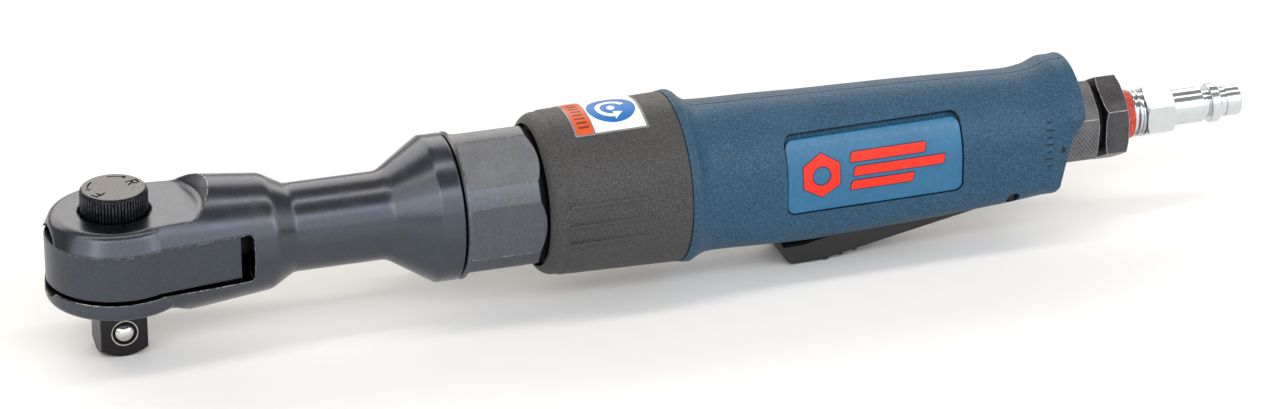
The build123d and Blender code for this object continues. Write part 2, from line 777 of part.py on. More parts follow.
# Motor housing: the motor bore in front, and a narrower handle core with the throttle passages
with BuildPart() as motor_housing:
    with BuildSketch(TOOL_SIDE):
        with BuildLine():
            Polyline(
                (HOUSING_START, 0),
                (HOUSING_START, HOUSING_R),
                (172.4, HOUSING_R),
                (178.4, HOUSING_NECK_R),
                (HOUSING_END - 3.4, HOUSING_NECK_R),
                (HOUSING_END, HOUSING_NECK_R - 3.4),
                (HOUSING_END, 0),
                close=True,
            )
        make_face()
    revolve(axis=TOOL_AXIS)
    revolve(
        stepped((HOUSING_START - 1, REAR_PLATE_END, MOTOR_BORE_R), (REAR_PLATE_END, 175.4, 12.4)),
        axis=TOOL_AXIS,
        mode=Mode.SUBTRACT,
    )
    revolve(stepped((248.5, HOUSING_END + 1, INLET_THREAD_R)), axis=TOOL_AXIS, mode=Mode.SUBTRACT)
    add(lever_pocket(), mode=Mode.SUBTRACT)
    # Air comes in above the valve seat and goes on to the motor below it
    with BuildSketch(across(VALVE_X)):
        with Locations((0, 4.5)):
            Circle(3.2)
    extrude(amount=18, mode=Mode.SUBTRACT)
    with BuildSketch(across(175)):
        with Locations((0, -5.0)):
            Circle(3.0)
    extrude(amount=VALVE_X - 175 + 1, mode=Mode.SUBTRACT)
    valve_steps = ((-14, -8.4, 2.6), (-8.4, -0.9, 3.0), (-0.9, 0.9, 2.4), (0.9, 16, VALVE_BORE_R))
    for bottom, top, radius in valve_steps:
        with BuildSketch(Plane.XY.offset(AXIS_Z + bottom)):
            with Locations((VALVE_X, 0)):
                Circle(radius)
        extrude(amount=top - bottom, mode=Mode.SUBTRACT)
    # Exhaust ports into the space under the sleeve
    for port_angle in (180, 150, 210):
        with BuildSketch(facing(port_angle)):
            with Locations((146, 0)):
                SlotOverall(30, 4)
        extrude(amount=20, mode=Mode.SUBTRACT)
write(motor_housing, "motor_housing")

with BuildPart() as exhaust_silencer:
    revolve(ring(116.5, 126.5, SLEEVE_INNER_R, HOUSING_R), axis=TOOL_AXIS)
write(exhaust_silencer, "exhaust_silencer")

# Front sleeve: a rounded lip around the nut, set off by a soft crease, then a slight taper with
# three fine ribs on each side
with BuildPart() as front_sleeve:
    with BuildSketch(TOOL_SIDE):
        with BuildLine():
            Line((SLEEVE_START, 19.3), (SLEEVE_START, 19.6))
            RadiusArc((SLEEVE_START, 19.6), (SLEEVE_START + 3.5, SLEEVE_FRONT_R - 0.35), 3.6)
            Polyline(
                (SLEEVE_START + 3.5, SLEEVE_FRONT_R - 0.35),
                (SLEEVE_START + 4.3, SLEEVE_FRONT_R - 0.35),
                (SLEEVE_START + SLEEVE_LIP, SLEEVE_FRONT_R),
                (SLEEVE_END, SLEEVE_REAR_R),
                (SLEEVE_END, HOUSING_R),
                (SLEEVE_END - 2.8, HOUSING_R),
                (SLEEVE_END - 2.8, SLEEVE_INNER_R),
                (SLEEVE_START + 2.6, SLEEVE_INNER_R),
                (SLEEVE_START + 1.2, 19.3),
                (SLEEVE_START, 19.3),
            )
        make_face()
    revolve(axis=TOOL_AXIS)
    for rib_angle in (13, -1, -15, 167, 181, 195):
        with BuildSketch(facing(rib_angle, x=128.9, lift=21.8)):
            SlotOverall(22.2, 0.9)
        extrude(amount=1.3)
write(front_sleeve, "front_sleeve")

with BuildPart() as info_sticker:
    taper = (SLEEVE_REAR_R - SLEEVE_FRONT_R) / (SLEEVE_END - SLEEVE_START - SLEEVE_LIP)
    near_r = SLEEVE_FRONT_R + taper * (122.9 - SLEEVE_START - SLEEVE_LIP)
    far_r = SLEEVE_FRONT_R + taper * (143.4 - SLEEVE_START - SLEEVE_LIP)
    with BuildSketch(Plane(origin=(0, 0, AXIS_Z), x_dir=(1, 0, 0), z_dir=facing(-28).z_dir)):
        with BuildLine():
            Polyline(
                (122.9, near_r),
                (122.9, near_r + 0.12),
                (143.4, far_r + 0.12),
                (143.4, far_r),
                close=True,
            )
        make_face()
    revolve(axis=TOOL_AXIS, revolution_arc=-54)
write(info_sticker, "info_sticker")


def handle_size(x):
    """The section sizes at x: smooth between stations, with no overshoot past either of them."""
    places = [station[0] for station in GRIP_STATIONS]
    left = max(i for i in range(len(places) - 1) if places[i] <= x)
    sizes = []
    for column in range(1, 5):
        values = [station[column] for station in GRIP_STATIONS]
        spans = zip(zip(places, values), zip(places[1:], values[1:]))
        rises = [(high - low) / (to - at) for (at, low), (to, high) in spans]
        slopes = [rises[0]]
        for before, after in zip(rises, rises[1:]):
            slopes.append(2 * before * after / (before + after) if before * after > 0 else 0)
        slopes.append(rises[-1])
        step = places[left + 1] - places[left]
        t = (x - places[left]) / step
        start = values[left] * (1 + 2 * t) * (1 - t) ** 2 + slopes[left] * step * t * (1 - t) ** 2
        end = values[left + 1] * t * t * (3 - 2 * t) - slopes[left + 1] * step * t * t * (1 - t)
        sizes.append(start + end)
    return sizes


def spaced(start, end, steps):
    """Evenly spaced values from start up to, but not including, end."""
    return [start + (end - start) * step / steps for step in range(steps)]


def grip_form(inset, sections):
    """The handle's outer form through the given stations, drawn inset from the real surface."""
    with BuildPart() as form:
        for x in sections:
            top, side, bottom, corner = handle_size(x)
            w = side - inset
            t = top - inset
            b = bottom - inset
            c = corner - inset
            with BuildSketch(across(x)):
                with BuildLine():
                    EllipticalCenterArc((0, 0), w, t, start_angle=0, arc_size=180)
                    Line((-w, 0), (-w, c - b))
                    CenterArc((c - w, c - b), c, 180, 90)
                    Line((c - w, -b), (w - c, -b))
                    CenterArc((w - c, c - b), c, 270, 90)
                    Line((w, c - b), (w, 0))
                make_face()
        loft()
    return form.part


def label_window(shrink, top_gap=0):
    """The rounded window of a label plate, as a bar right through the handle."""
    with BuildPart() as window:
        with BuildSketch(TOOL_SIDE):
            with Locations((sum(LABEL_SPAN) / 2, (sum(LABEL_RISE) - top_gap) / 2)):
                RectangleRounded(
                    LABEL_SPAN[1] - LABEL_SPAN[0] - 2 * shrink,
                    LABEL_RISE[1] - LABEL_RISE[0] - top_gap - 2 * shrink,
                    LABEL_CORNER - shrink,
                )
        extrude(amount=40, both=True)
    return window.part


label_sections = spaced(174, 246, 9)
handle_sections = spaced(GRIP_START, 165, 11) + spaced(165, 245, 10)
handle_sections += spaced(245, GRIP_END, 12) + [GRIP_END]
outer_form = grip_form(0, handle_sections)
recess_form = grip_form(LABEL_RECESS, label_sections)
plate_form = grip_form(LABEL_INSET, label_sections)

# The two grip shells are mirror images, joined on the middle plane, with the lever's pocket below
with BuildPart() as grip_left:
    add(outer_form)
    add(label_window(0) - recess_form, mode=Mode.SUBTRACT)
    with BuildSketch(TOOL_SIDE):
        with BuildLine():
            Polyline(
                (GRIP_START - 1, 0),
                (GRIP_START - 1, HOUSING_R),
                (172.4, HOUSING_R),
                (178.4, HOUSING_NECK_R),
                (HOUSING_END - 3.4, HOUSING_NECK_R),
                (HOUSING_END - 2.3, HOUSING_NECK_R - 1.1),
                (270, HOUSING_NECK_R - 1.1),
                (270, 0),
                close=True,
            )
        make_face()
    revolve(axis=TOOL_AXIS, mode=Mode.SUBTRACT)
    add(lever_pocket(), mode=Mode.SUBTRACT)
    # The rear face steps forward below the inlet in an S curve and slants on to the underside
    with BuildSketch(TOOL_SIDE):
        with BuildLine():
            Line((275, -25), (HOUSING_END - 5.4, -25))
            Line((HOUSING_END - 5.4, -25), (HOUSING_END + 0.2, 0.5))
            Spline(
                (HOUSING_END + 0.2, 0.5),
                (264.4, 5.0),
                (266.4, 9.6),
                tangents=[(0.22, 1), (0.15, 1)],
            )
            Line((266.4, 9.6), (266.6, 25))
            Line((266.6, 25), (275, 25))
            Line((275, 25), (275, -25))
        make_face()
    extrude(amount=30, both=True, mode=Mode.SUBTRACT)
    with BuildSketch(TOOL_SIDE):
        with Locations((LEVER_PIVOT_X, LEVER_PIVOT_DROP)):
            Circle(LEVER_PIN_R + 0.2)
    extrude(amount=30, both=True, mode=Mode.SUBTRACT)
    # A flat pad on the side, from behind the label plate to the rear end
    with BuildSketch(TOOL_SIDE.offset(PAD_FACE)) as pad:
        with Locations(((PAD_START + 275) / 2, (PAD_RISE - 25) / 2)):
            Rectangle(275 - PAD_START, PAD_RISE + 25)
        fillet(pad.vertices().group_by(Axis.X)[0].sort_by(Axis.Y)[-1:], 2)
    extrude(amount=10, mode=Mode.SUBTRACT)
    split(bisect_by=Plane.XZ.offset(GRIP_SPLIT), keep=Keep.TOP)
write(grip_left, "grip_left")

with BuildPart() as grip_right:
    mirror(grip_left.part, about=Plane.XZ)
write(grip_right, "grip_right")

# Label plates, set in the shallow windows of the grip shells
with BuildPart() as label_plate_left:
    add((plate_form - recess_form) & label_window(0.35, LABEL_TOP_GAP))
    split(bisect_by=Plane.XZ, keep=Keep.TOP)
write(label_plate_left, "label_plate_left")

with BuildPart() as label_plate_right:
    mirror(label_plate_left.part, about=Plane.XZ)
write(label_plate_right, "label_plate_right")

# Lever: a channel open towards the handle, with a raised front lip and three ribs for the finger
with BuildPart() as lever:
    with BuildSketch(TOOL_SIDE) as side_view:
        with BuildLine():
            Polyline(
                (179.4, -20.2),
                (184.4, -27.6),
                (193.4, -27.4),
                (204.4, -25.3),
                (245.4, -17.3),
                (249.0, -15.4),
                (249.4, -12.8),
                (247.6, -10.8),
                (245.0, -10.7),
                (240.5, -13.9),
                (205.0, -19.3),
                (196.5, -20.6),
                (188.5, -22.3),
                (182.6, -22.5),
                (181.6, -20.2),
                close=True,
            )
        make_face()
    extrude(amount=LEVER_HALF, both=True)
    with BuildSketch(TOOL_SIDE):
        for rib_x, rib_drop in ((195.0, -26.9), (199.1, -26.1), (203.1, -25.3)):
            with Locations((rib_x, rib_drop)):
                Circle(0.95)
    extrude(amount=LEVER_HALF - 0.3, both=True)
    with BuildSketch(TOOL_SIDE):
        with BuildLine():
            Polyline(
                (182.2, -19),
                (181.6, -20.9),
                (185.6, -25.9),
                (193.2, -25.8),
                (204.2, -23.7),
                (240.0, -16.7),
                (240.0, -10),
                close=True,
            )
        make_face()
    extrude(amount=LEVER_HALF - LEVER_WALL, both=True, mode=Mode.SUBTRACT)
    with BuildSketch(TOOL_SIDE):
        with Locations((LEVER_PIVOT_X, LEVER_PIVOT_DROP)):
            Circle(LEVER_PIN_R + RUN)
    extrude(amount=LEVER_HALF + 1, both=True, mode=Mode.SUBTRACT)
    fillet(lever.edges().filter_by(Axis.Y).group_by(Axis.Z)[0], 1.8)
write(lever, "lever")

with BuildPart() as lever_pin:
    with BuildSketch(TOOL_SIDE):
        with Locations((LEVER_PIVOT_X, LEVER_PIVOT_DROP)):
            Circle(LEVER_PIN_R)
    extrude(amount=13.2, both=True)
    chamfer(lever_pin.edges().filter_by(GeomType.CIRCLE), 0.3)
write(lever_pin, "lever_pin")

# Throttle valve, standing across the handle above the lever
with BuildPart() as throttle_plunger:
    with BuildSketch(Plane.XY.offset(AXIS_Z - 18.05)):
        with Locations((VALVE_X, 0)):
            Circle(PLUNGER_R)
    extrude(amount=18.65)
    fillet(throttle_plunger.edges().group_by(Axis.Z)[0], 0.7)
write(throttle_plunger, "throttle_plunger")

with BuildPart() as plunger_bushing:
    with BuildSketch(Plane.XY.offset(AXIS_Z - 12.4)):
        with Locations((VALVE_X, 0)):
            Circle(2.6)
            Circle(PLUNGER_R + RUN, mode=Mode.SUBTRACT)
    extrude(amount=4.0)
write(plunger_bushing, "plunger_bushing")

with BuildPart() as throttle_poppet:
    with BuildSketch(Plane.XZ):
        with BuildLine():
            Polyline(
                (0, AXIS_Z + 0.6),
                (2.1, AXIS_Z + 0.6),
                (2.1, AXIS_Z + 0.9),
                (3.7, AXIS_Z + 0.9),
                (3.7, AXIS_Z + 2.4),
                (1.5, AXIS_Z + 2.4),
                (1.5, AXIS_Z + 5.4),
                (0, AXIS_Z + 5.4),
                close=True,
            )
        make_face()
    revolve(axis=Axis.Z)
    throttle_poppet.part = Pos(VALVE_X, 0, 0) * throttle_poppet.part
write(throttle_poppet, "throttle_poppet")

with BuildPart() as throttle_cap:
    with BuildSketch(Plane.XY.offset(AXIS_Z + 9.6)):
        with Locations((VALVE_X, 0)):
            Circle(VALVE_BORE_R)
    extrude(amount=3.4)
    with BuildSketch(Plane.XY.offset(AXIS_Z + 13.0)):
        with Locations((VALVE_X, 0)):
            Rectangle(6, 1)
    extrude(amount=-1, mode=Mode.SUBTRACT)
write(throttle_cap, "throttle_cap")

with BuildPart() as throttle_spring:
    add(Pos(VALVE_X, 0, AXIS_Z + 2.9) * coil(2.6, 0.4, 6.2, 5))
write(throttle_spring, "throttle_spring")


def hexagon(start, end, corner_r, corner_angle, bevel):
    """A hexagonal bar along the tool axis with turned bevels on both ends."""
    with BuildPart() as bar:
        with BuildSketch(across(start)):
            RegularPolygon(corner_r, 6, rotation=180 - corner_angle)
        extrude(amount=end - start)
        with BuildSketch(TOOL_SIDE):
            with BuildLine():
                Polyline(
                    (start, 0),
                    (start, corner_r - 2.2 * bevel),
                    (start + bevel, corner_r + 0.05),
                    (end - bevel, corner_r + 0.05),
                    (end, corner_r - 2.2 * bevel),
                    (end, 0),
                    close=True,
                )
            make_face()
        revolve(axis=TOOL_AXIS, mode=Mode.INTERSECT)
    return bar.part


# Air inlet: bushing, strainer, washer, adapter, sealant and the plug
with BuildPart() as inlet_bushing:
    add(hexagon(HOUSING_END + 1.0, WASHER_START, HEX_CORNER_R, 23.6, 0.5))
    revolve(stepped((251.0, HOUSING_END + 1.0, INLET_THREAD_R)), axis=TOOL_AXIS)
    revolve(stepped((250, 267, 5.6), (267, 274, ADAPTER_THREAD_R)), axis=TOOL_AXIS, mode=Mode.SUBTRACT)
write(inlet_bushing, "inlet_bushing")

# Strainer: a thimble of sheet with a ring of holes
with BuildPart() as inlet_screen:
    revolve(ring(250.2, 266.9, 5.55, 5.05), axis=TOOL_AXIS)
    with BuildSketch(across(250.2)):
        Circle(5.55)
    extrude(amount=0.5)
    for hole_x in (253.5, 256.5, 259.5, 262.5):
        for hole_angle in range(0, 180, 45):
            with BuildSketch(facing(hole_angle)):
                with Locations((hole_x, 0)):
                    Circle(0.9)
            extrude(amount=8, both=True, mode=Mode.SUBTRACT)
write(inlet_screen, "inlet_screen")

with BuildPart() as inlet_washer:
    revolve(ring(WASHER_START, WASHER_END, 8.9, ADAPTER_THREAD_R), axis=TOOL_AXIS)
write(inlet_washer, "inlet_washer")

with BuildPart() as inlet_adapter:
    add(hexagon(WASHER_END, ADAPTER_END, HEX_CORNER_R, 30, 0.6))
    revolve(stepped((268.0, WASHER_END, ADAPTER_THREAD_R)), axis=TOOL_AXIS)
    revolve(stepped((267, 272, 4.0), (272, 284, PLUG_THREAD_R)), axis=TOOL_AXIS, mode=Mode.SUBTRACT)
write(inlet_adapter, "inlet_adapter")

with BuildPart() as thread_sealant:
    revolve(ring(ADAPTER_END, SEALANT_END, 7.0, PLUG_THREAD_R), axis=TOOL_AXIS)
    fillet(thread_sealant.edges().filter_by(GeomType.CIRCLE).sort_by(SortBy.RADIUS)[-2:], 0.3)
write(thread_sealant, "thread_sealant")

# Air plug: threaded end, hexagon, and the grooved nose that snaps into a coupler
with BuildPart() as air_plug:
    add(hexagon(289.6, 297.9, 7.5, 30, 0.5))
    revolve(
        stepped(
            (273.0, SEALANT_END, PLUG_THREAD_R),
            (SEALANT_END, 289.6, 5.75),
            (289.6, 307.2, 5.0),
            (307.2, 309.5, 3.8),
            (309.5, 312.4, 5.5),
            (312.4, 314.5, 3.9),
            (314.5, PLUG_END, 4.3),
        ),
        axis=TOOL_AXIS,
    )
    fillet(air_plug.edges().filter_by(GeomType.CIRCLE).filter_by(lambda e: abs(e.radius - 5.5) < 0.01), 0.6)
    chamfer(air_plug.edges().filter_by(GeomType.CIRCLE).group_by(Axis.X)[-1], 0.5)
    revolve(stepped((272, PLUG_END + 1, PLUG_BORE_R)), axis=TOOL_AXIS, mode=Mode.SUBTRACT)
write(air_plug, "air_plug")
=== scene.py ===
import bmesh
import bpy
import json
import math
from mathutils import Matrix, Vector, noise
from mathutils.bvhtree import BVHTree


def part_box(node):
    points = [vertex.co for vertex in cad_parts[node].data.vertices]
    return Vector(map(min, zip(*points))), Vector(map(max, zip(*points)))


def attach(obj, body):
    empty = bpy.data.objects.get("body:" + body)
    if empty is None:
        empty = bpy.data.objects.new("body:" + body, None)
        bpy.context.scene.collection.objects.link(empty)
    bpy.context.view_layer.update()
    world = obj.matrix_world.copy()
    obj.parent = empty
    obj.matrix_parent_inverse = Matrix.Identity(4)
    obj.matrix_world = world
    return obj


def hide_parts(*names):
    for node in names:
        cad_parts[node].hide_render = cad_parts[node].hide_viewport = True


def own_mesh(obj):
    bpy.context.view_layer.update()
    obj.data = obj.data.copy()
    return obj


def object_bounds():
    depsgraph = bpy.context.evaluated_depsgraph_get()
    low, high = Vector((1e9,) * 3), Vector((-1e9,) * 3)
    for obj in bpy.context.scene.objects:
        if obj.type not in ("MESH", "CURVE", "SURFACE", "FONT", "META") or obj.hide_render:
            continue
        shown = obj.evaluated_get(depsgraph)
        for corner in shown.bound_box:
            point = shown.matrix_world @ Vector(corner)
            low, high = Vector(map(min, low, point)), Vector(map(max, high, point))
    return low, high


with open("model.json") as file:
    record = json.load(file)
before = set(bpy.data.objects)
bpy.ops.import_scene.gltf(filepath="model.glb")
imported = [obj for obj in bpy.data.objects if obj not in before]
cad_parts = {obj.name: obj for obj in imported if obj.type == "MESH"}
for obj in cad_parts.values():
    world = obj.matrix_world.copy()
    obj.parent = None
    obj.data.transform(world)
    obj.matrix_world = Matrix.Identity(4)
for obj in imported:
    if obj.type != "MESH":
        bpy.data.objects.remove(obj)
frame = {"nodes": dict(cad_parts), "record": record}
cad_low, cad_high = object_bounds()

# Everything is in metres, in the CAD model's frame: the tool axis runs along +X from the ratchet
# head to the air plug, and the square drive points down.
MM = 0.001
AXIS_Z = 28 * MM
KNOB_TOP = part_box("reverse_knob")[1].z
KNOB_R = 9.0 * MM
STICKER_R = 22.8 * MM
THREAD_PITCH = 1.337 * MM
plate_low, plate_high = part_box("label_plate_left")
film_low, film_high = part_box("info_sticker")
sealant_low, sealant_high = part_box("thread_sealant")
LABEL_MIDDLE = (plate_low.x + plate_high.x) / 2


class Paint:
    """A procedural material, with one short method for each kind of node that the finishes use."""

    def __init__(self, name, metallic=0.0):
        self.material = bpy.data.materials.new(name)
        self.material.use_nodes = True
        self.tree = self.material.node_tree
        self.shader = self.tree.nodes["Principled BSDF"]
        self.shader.inputs["Metallic"].default_value = metallic
        self.shader.inputs["IOR"].default_value = 1.5
        self.place = self.node("ShaderNodeTexCoord").outputs["Object"]
        self.x, self.y, self.z = self.node("ShaderNodeSeparateXYZ", (self.place,)).outputs

    def feed(self, socket, value):
        """Links a socket to another node's output, or sets its number or colour."""
        if isinstance(value, bpy.types.NodeSocket):
            self.tree.links.new(value, socket)
        else:
            socket.default_value = value

    def node(self, kind, inputs=(), **settings):
        """Adds a node with its settings, and feeds its first inputs in order."""
        made = self.tree.nodes.new(kind)
        for key, value in settings.items():
            setattr(made, key, value)
        for socket, value in zip(made.inputs, inputs):
            self.feed(socket, value)
        return made

    def sum(self, operation, *values):
        """A Math node: one operation on one to three numbers."""
        return self.node("ShaderNodeMath", values, operation=operation).outputs[0]

    def times(self, first, second):
        return self.sum("MULTIPLY", first, second)

    def length(self, across, up):
        """How long the vector (across, up) is."""
        return self.sum("SQRT", self.sum("ADD", self.times(across, across), self.times(up, up)))

    def fit(self, value, low, high, to_low=0.0, to_high=1.0):
        """Maps low..high to to_low..to_high, and holds the ends."""
        return self.node("ShaderNodeMapRange", (value, low, high, to_low, to_high)).outputs[0]

    def mix(self, share, first, second):
        """A colour between two colours."""
        made = self.node("ShaderNodeMix", data_type="RGBA")
        self.feed(made.inputs[0], share)
        self.feed(made.inputs[6], first)
        self.feed(made.inputs[7], second)
        return made.outputs[2]

    def join(self, x, y, z):
        """A place from three numbers."""
        return self.node("ShaderNodeCombineXYZ", (x, y, z)).outputs[0]

    def stretched(self, x, y, z):
        """The place on the object with each axis scaled, so that noise on it is drawn out."""
        pairs = ((self.x, x), (self.y, y), (self.z, z))
        return self.join(*(self.times(part, size) for part, size in pairs))

    def around(self, along, turns):
        """Coordinates wrapped round the tool axis, for marks left by turning."""
        angle = self.sum("ARCTAN2", self.y, self.sum("SUBTRACT", self.z, AXIS_Z))
        return self.join(self.times(self.x, along), self.times(angle, turns), 0.0)

    def grain(self, place, scale, detail, roughness):
        """Soft noise, about 0.3 to 0.7."""
        made = self.node("ShaderNodeTexNoise", (place,))
        self.feed(made.inputs["Scale"], scale)
        self.feed(made.inputs["Detail"], detail)
        self.feed(made.inputs["Roughness"], roughness)
        return made.outputs[0]

    def cells(self, place, scale):
        """Distance to the nearest of many scattered points, for small pits."""
        made = self.node("ShaderNodeTexVoronoi", (place,))
        self.feed(made.inputs["Scale"], scale)
        return made.outputs["Distance"]

    def rounded(self, radius):
        """The surface normal with every edge rounded off."""
        made = self.node("ShaderNodeBevel", samples=6)
        self.feed(made.inputs["Radius"], radius)
        return made.outputs[0]

    def edges(self, radius, low=0.012, high=0.09):
        """1 along sharp edges and 0 elsewhere."""
        straight = self.node("ShaderNodeNewGeometry").outputs["Normal"]
        pair = (self.rounded(radius), straight)
        dot = self.node("ShaderNodeVectorMath", pair, operation="DOT_PRODUCT").outputs["Value"]
        return self.fit(dot, 1 - low, 1 - high)

    def painted_crevice_shade(self, reach, dark=0.12):
        """Painted shade: 1 in the open, falling to dark deep in slots and gaps narrower than reach."""
        made = self.node("ShaderNodeAmbientOcclusion", samples=8)
        self.feed(made.inputs["Distance"], reach)
        return self.fit(made.outputs["AO"], 0.12, 0.5, dark, 1.0)

    def dimmed(self, colour, share):
        """A colour multiplied by a node's number."""
        made = self.node("ShaderNodeVectorMath", (colour,), operation="SCALE")
        self.feed(made.inputs["Scale"], share)
        return made.outputs[0]

    def bump(self, height, depth, normal=None):
        """The normal of a surface raised by height times depth, on top of another normal."""
        made = self.node("ShaderNodeBump")
        self.feed(made.inputs["Strength"], 1.0)
        self.feed(made.inputs["Distance"], depth)
        self.feed(made.inputs["Height"], height)
        if normal is not None:
            self.feed(made.inputs["Normal"], normal)
        return made.outputs[0]

    def done(self, colour, roughness, normal=None, **plain):
        """Sets the shader's inputs and returns the material."""
        self.feed(self.shader.inputs["Base Color"], colour)
        self.feed(self.shader.inputs["Roughness"], roughness)
        if normal is not None:
            self.feed(self.shader.inputs["Normal"], normal)
        for key, value in plain.items():
            self.shader.inputs[key.replace("_", " ")].default_value = value
        return self.material


def shade(colour, factor):
    """A fixed colour made darker or lighter."""
    return tuple(part * factor for part in colour[:3]) + (1.0,)


# Metal that shows where edges are worn, and how much the black oxide's colour wanders
BARE_STEEL = (0.6, 0.58, 0.54, 1)
BARE_EDGE = (0.7, 0.68, 0.65, 1)
KNOB_EDGE = (0.3, 0.3, 0.31, 1)
TINT = 0.6


def dark_steel(name, colour, rough, streaks=0.15, wear=0.6, edge=0.2 * MM, round_off=0.25 * MM,
               grit=0.6, turned=False):
    """Black-oxide steel: faint machining lines, fine grit, cloudy tints and bare metal on worn edges."""
    paint = Paint(name, metallic=1.0)
    cloud = paint.grain(paint.place, 45, 3, 0.55)
    blotch = paint.grain(paint.place, 190, 4, 0.65)
    speck = paint.grain(paint.place, 1500, 3, 0.65)
    run = paint.around(2600, 2.5) if turned else paint.stretched(2600, 70, 70)
    lines = paint.grain(run, 1, 3, 0.6)
    warm = (colour[0] * 1.12, colour[1] * 0.98, colour[2] * 0.86, 1.0)
    violet = (colour[0] * 1.1, colour[1] * 0.93, colour[2] * 1.12, 1.0)
    tone = paint.mix(paint.fit(cloud, 0.35, 0.65, 0, TINT), shade(colour, 1), warm)
    tone = paint.mix(paint.fit(blotch, 0.5, 0.7, 0, TINT), tone, violet)
    tone = paint.mix(paint.fit(lines, 0.4, 0.75, 0, 0.6 * streaks), tone, shade(colour, 1.8))
    tone = paint.mix(paint.fit(speck, 0.25, 0.45, 0.5 * grit, 0), tone, shade(colour, 0.55))
    tone = paint.mix(paint.fit(speck, 0.55, 0.78, 0, 0.5 * grit), tone, shade(colour, 1.9))
    chips = paint.fit(paint.grain(paint.place, 700, 3, 0.7), 0.45, 0.6)
    bare = paint.times(paint.times(paint.edges(edge), chips), wear)
    tone = paint.mix(bare, tone, BARE_STEEL)
    # Painted shade: the colour darkens deep in slots and gaps within 7 mm
    tone = paint.dimmed(tone, paint.painted_crevice_shade(7 * MM))
    roughness = paint.fit(lines, 0.3, 0.75, rough - 0.05 * streaks, rough + 0.1 * streaks)
    roughness = paint.sum("ADD", roughness, paint.fit(blotch, 0.3, 0.7, -0.03, 0.04))
    normal = paint.bump(lines, 0.006 * MM * streaks, paint.rounded(round_off))
    normal = paint.bump(speck, 0.012 * MM * grit, normal)
    return paint.done(tone, roughness, normal)


def bright_metal(name, colour, rough, marks=0.4, tarnish=0.25, gap=1.2 * MM):
    """Polished or plated metal with fine turning marks, faint haze, small nicks and painted shade in its
    grooves.
    """
    paint = Paint(name, metallic=1.0)
    lines = paint.grain(paint.around(2600, 0.8), 1, 2, 0.6)
    haze = paint.grain(paint.place, 210, 4, 0.6)
    nicks = paint.fit(paint.grain(paint.place, 1500, 2, 0.5), 0.68, 0.76)
    tone = paint.mix(paint.fit(haze, 0.45, 0.75, 0, tarnish), colour, shade(colour, 0.72))
    tone = paint.mix(paint.fit(lines, 0.35, 0.6, 0.3 * marks, 0), tone, shade(colour, 0.5))
    tone = paint.mix(paint.times(nicks, 0.35), tone, shade(colour, 0.3))
    # Painted shade: the colour darkens in grooves and gaps narrower than gap
    tone = paint.dimmed(tone, paint.painted_crevice_shade(gap, 0.2))
    roughness = paint.fit(haze, 0.3, 0.75, rough, rough + 0.08)
    normal = paint.bump(lines, 0.0015 * MM * marks, paint.rounded(0.15 * MM))
    return paint.done(tone, roughness, normal)


def moulded(name, colour, rough, grain_size, depth, contrast, gloss=0.5):
    """Moulded plastic or rubber: a leathery fine grain, slight mottling and edges rubbed lighter."""
    paint = Paint(name)
    spark = paint.grain(paint.place, 1 / grain_size, 3, 0.6)
    pits = paint.cells(paint.place, 0.9 / grain_size)
    mottle = paint.grain(paint.place, 75, 4, 0.6)
    tone = paint.mix(paint.fit(mottle, 0.3, 0.7), shade(colour, 0.92), shade(colour, 1.08))
    tone = paint.mix(paint.fit(spark, 0.5, 0.68, 0, 0.6 * contrast), tone, shade(colour, 2.0))
    tone = paint.mix(paint.fit(spark, 0.32, 0.48, 0.6 * contrast, 0), tone, shade(colour, 0.4))
    rubbed = paint.times(paint.edges(0.3 * MM), paint.fit(mottle, 0.35, 0.6, 0.15, 0.5))
    tone = paint.mix(rubbed, tone, shade(colour, 1.9))
    # Painted shade: the colour darkens in recesses and gaps within 3 mm
    tone = paint.dimmed(tone, paint.painted_crevice_shade(3 * MM, 0.1))
    roughness = paint.fit(spark, 0.35, 0.7, rough + 0.06, rough - 0.06)
    normal = paint.bump(spark, depth, paint.rounded(0.3 * MM))
    normal = paint.bump(pits, depth * 0.5, normal)
    return paint.done(tone, roughness, normal, Specular_IOR_Level=gloss)


def hatched_steel(name, colour, rough, hatch=0.4, grit=0.4):
    """Hexagon fittings: dark steel whose flats keep the slanting marks of the milling cutter."""
    paint = Paint(name, metallic=1.0)
    slant = paint.stretched(1900, 900, 1500)
    warp = paint.grain(paint.place, 260, 2, 0.5)
    run = paint.node("ShaderNodeTexWave", (slant,), bands_direction="DIAGONAL")
    paint.feed(run.inputs["Scale"], 0.32)
    paint.feed(run.inputs["Distortion"], paint.fit(warp, 0.2, 0.8, 0.5, 3.0))
    paint.feed(run.inputs["Detail"], 1.5)
    marks = run.outputs[1]
    speck = paint.grain(paint.place, 2400, 3, 0.6)
    worn = paint.grain(paint.place, 120, 3, 0.6)
    tone = paint.mix(paint.fit(worn, 0.35, 0.65), shade(colour, 0.7), shade(colour, 1.35))
    tone = paint.mix(paint.fit(marks, 0.35, 0.9, 0, hatch), tone, shade(colour, 2.0))
    tone = paint.mix(paint.fit(speck, 0.5, 0.75, 0, grit), tone, shade(colour, 2.4))
    chips = paint.fit(paint.grain(paint.place, 800, 3, 0.7), 0.35, 0.55, 0.35, 1)
    tone = paint.mix(paint.times(paint.edges(0.35 * MM), chips), tone, BARE_EDGE)
    # Painted shade: the colour darkens in gaps and corners within 3 mm
    tone = paint.dimmed(tone, paint.painted_crevice_shade(3 * MM))
    normal = paint.bump(marks, 0.012 * MM, paint.rounded(0.25 * MM))
    normal = paint.bump(speck, 0.01 * MM, normal)
    return paint.done(tone, paint.fit(marks, 0.2, 0.9, rough, rough + 0.12), normal)


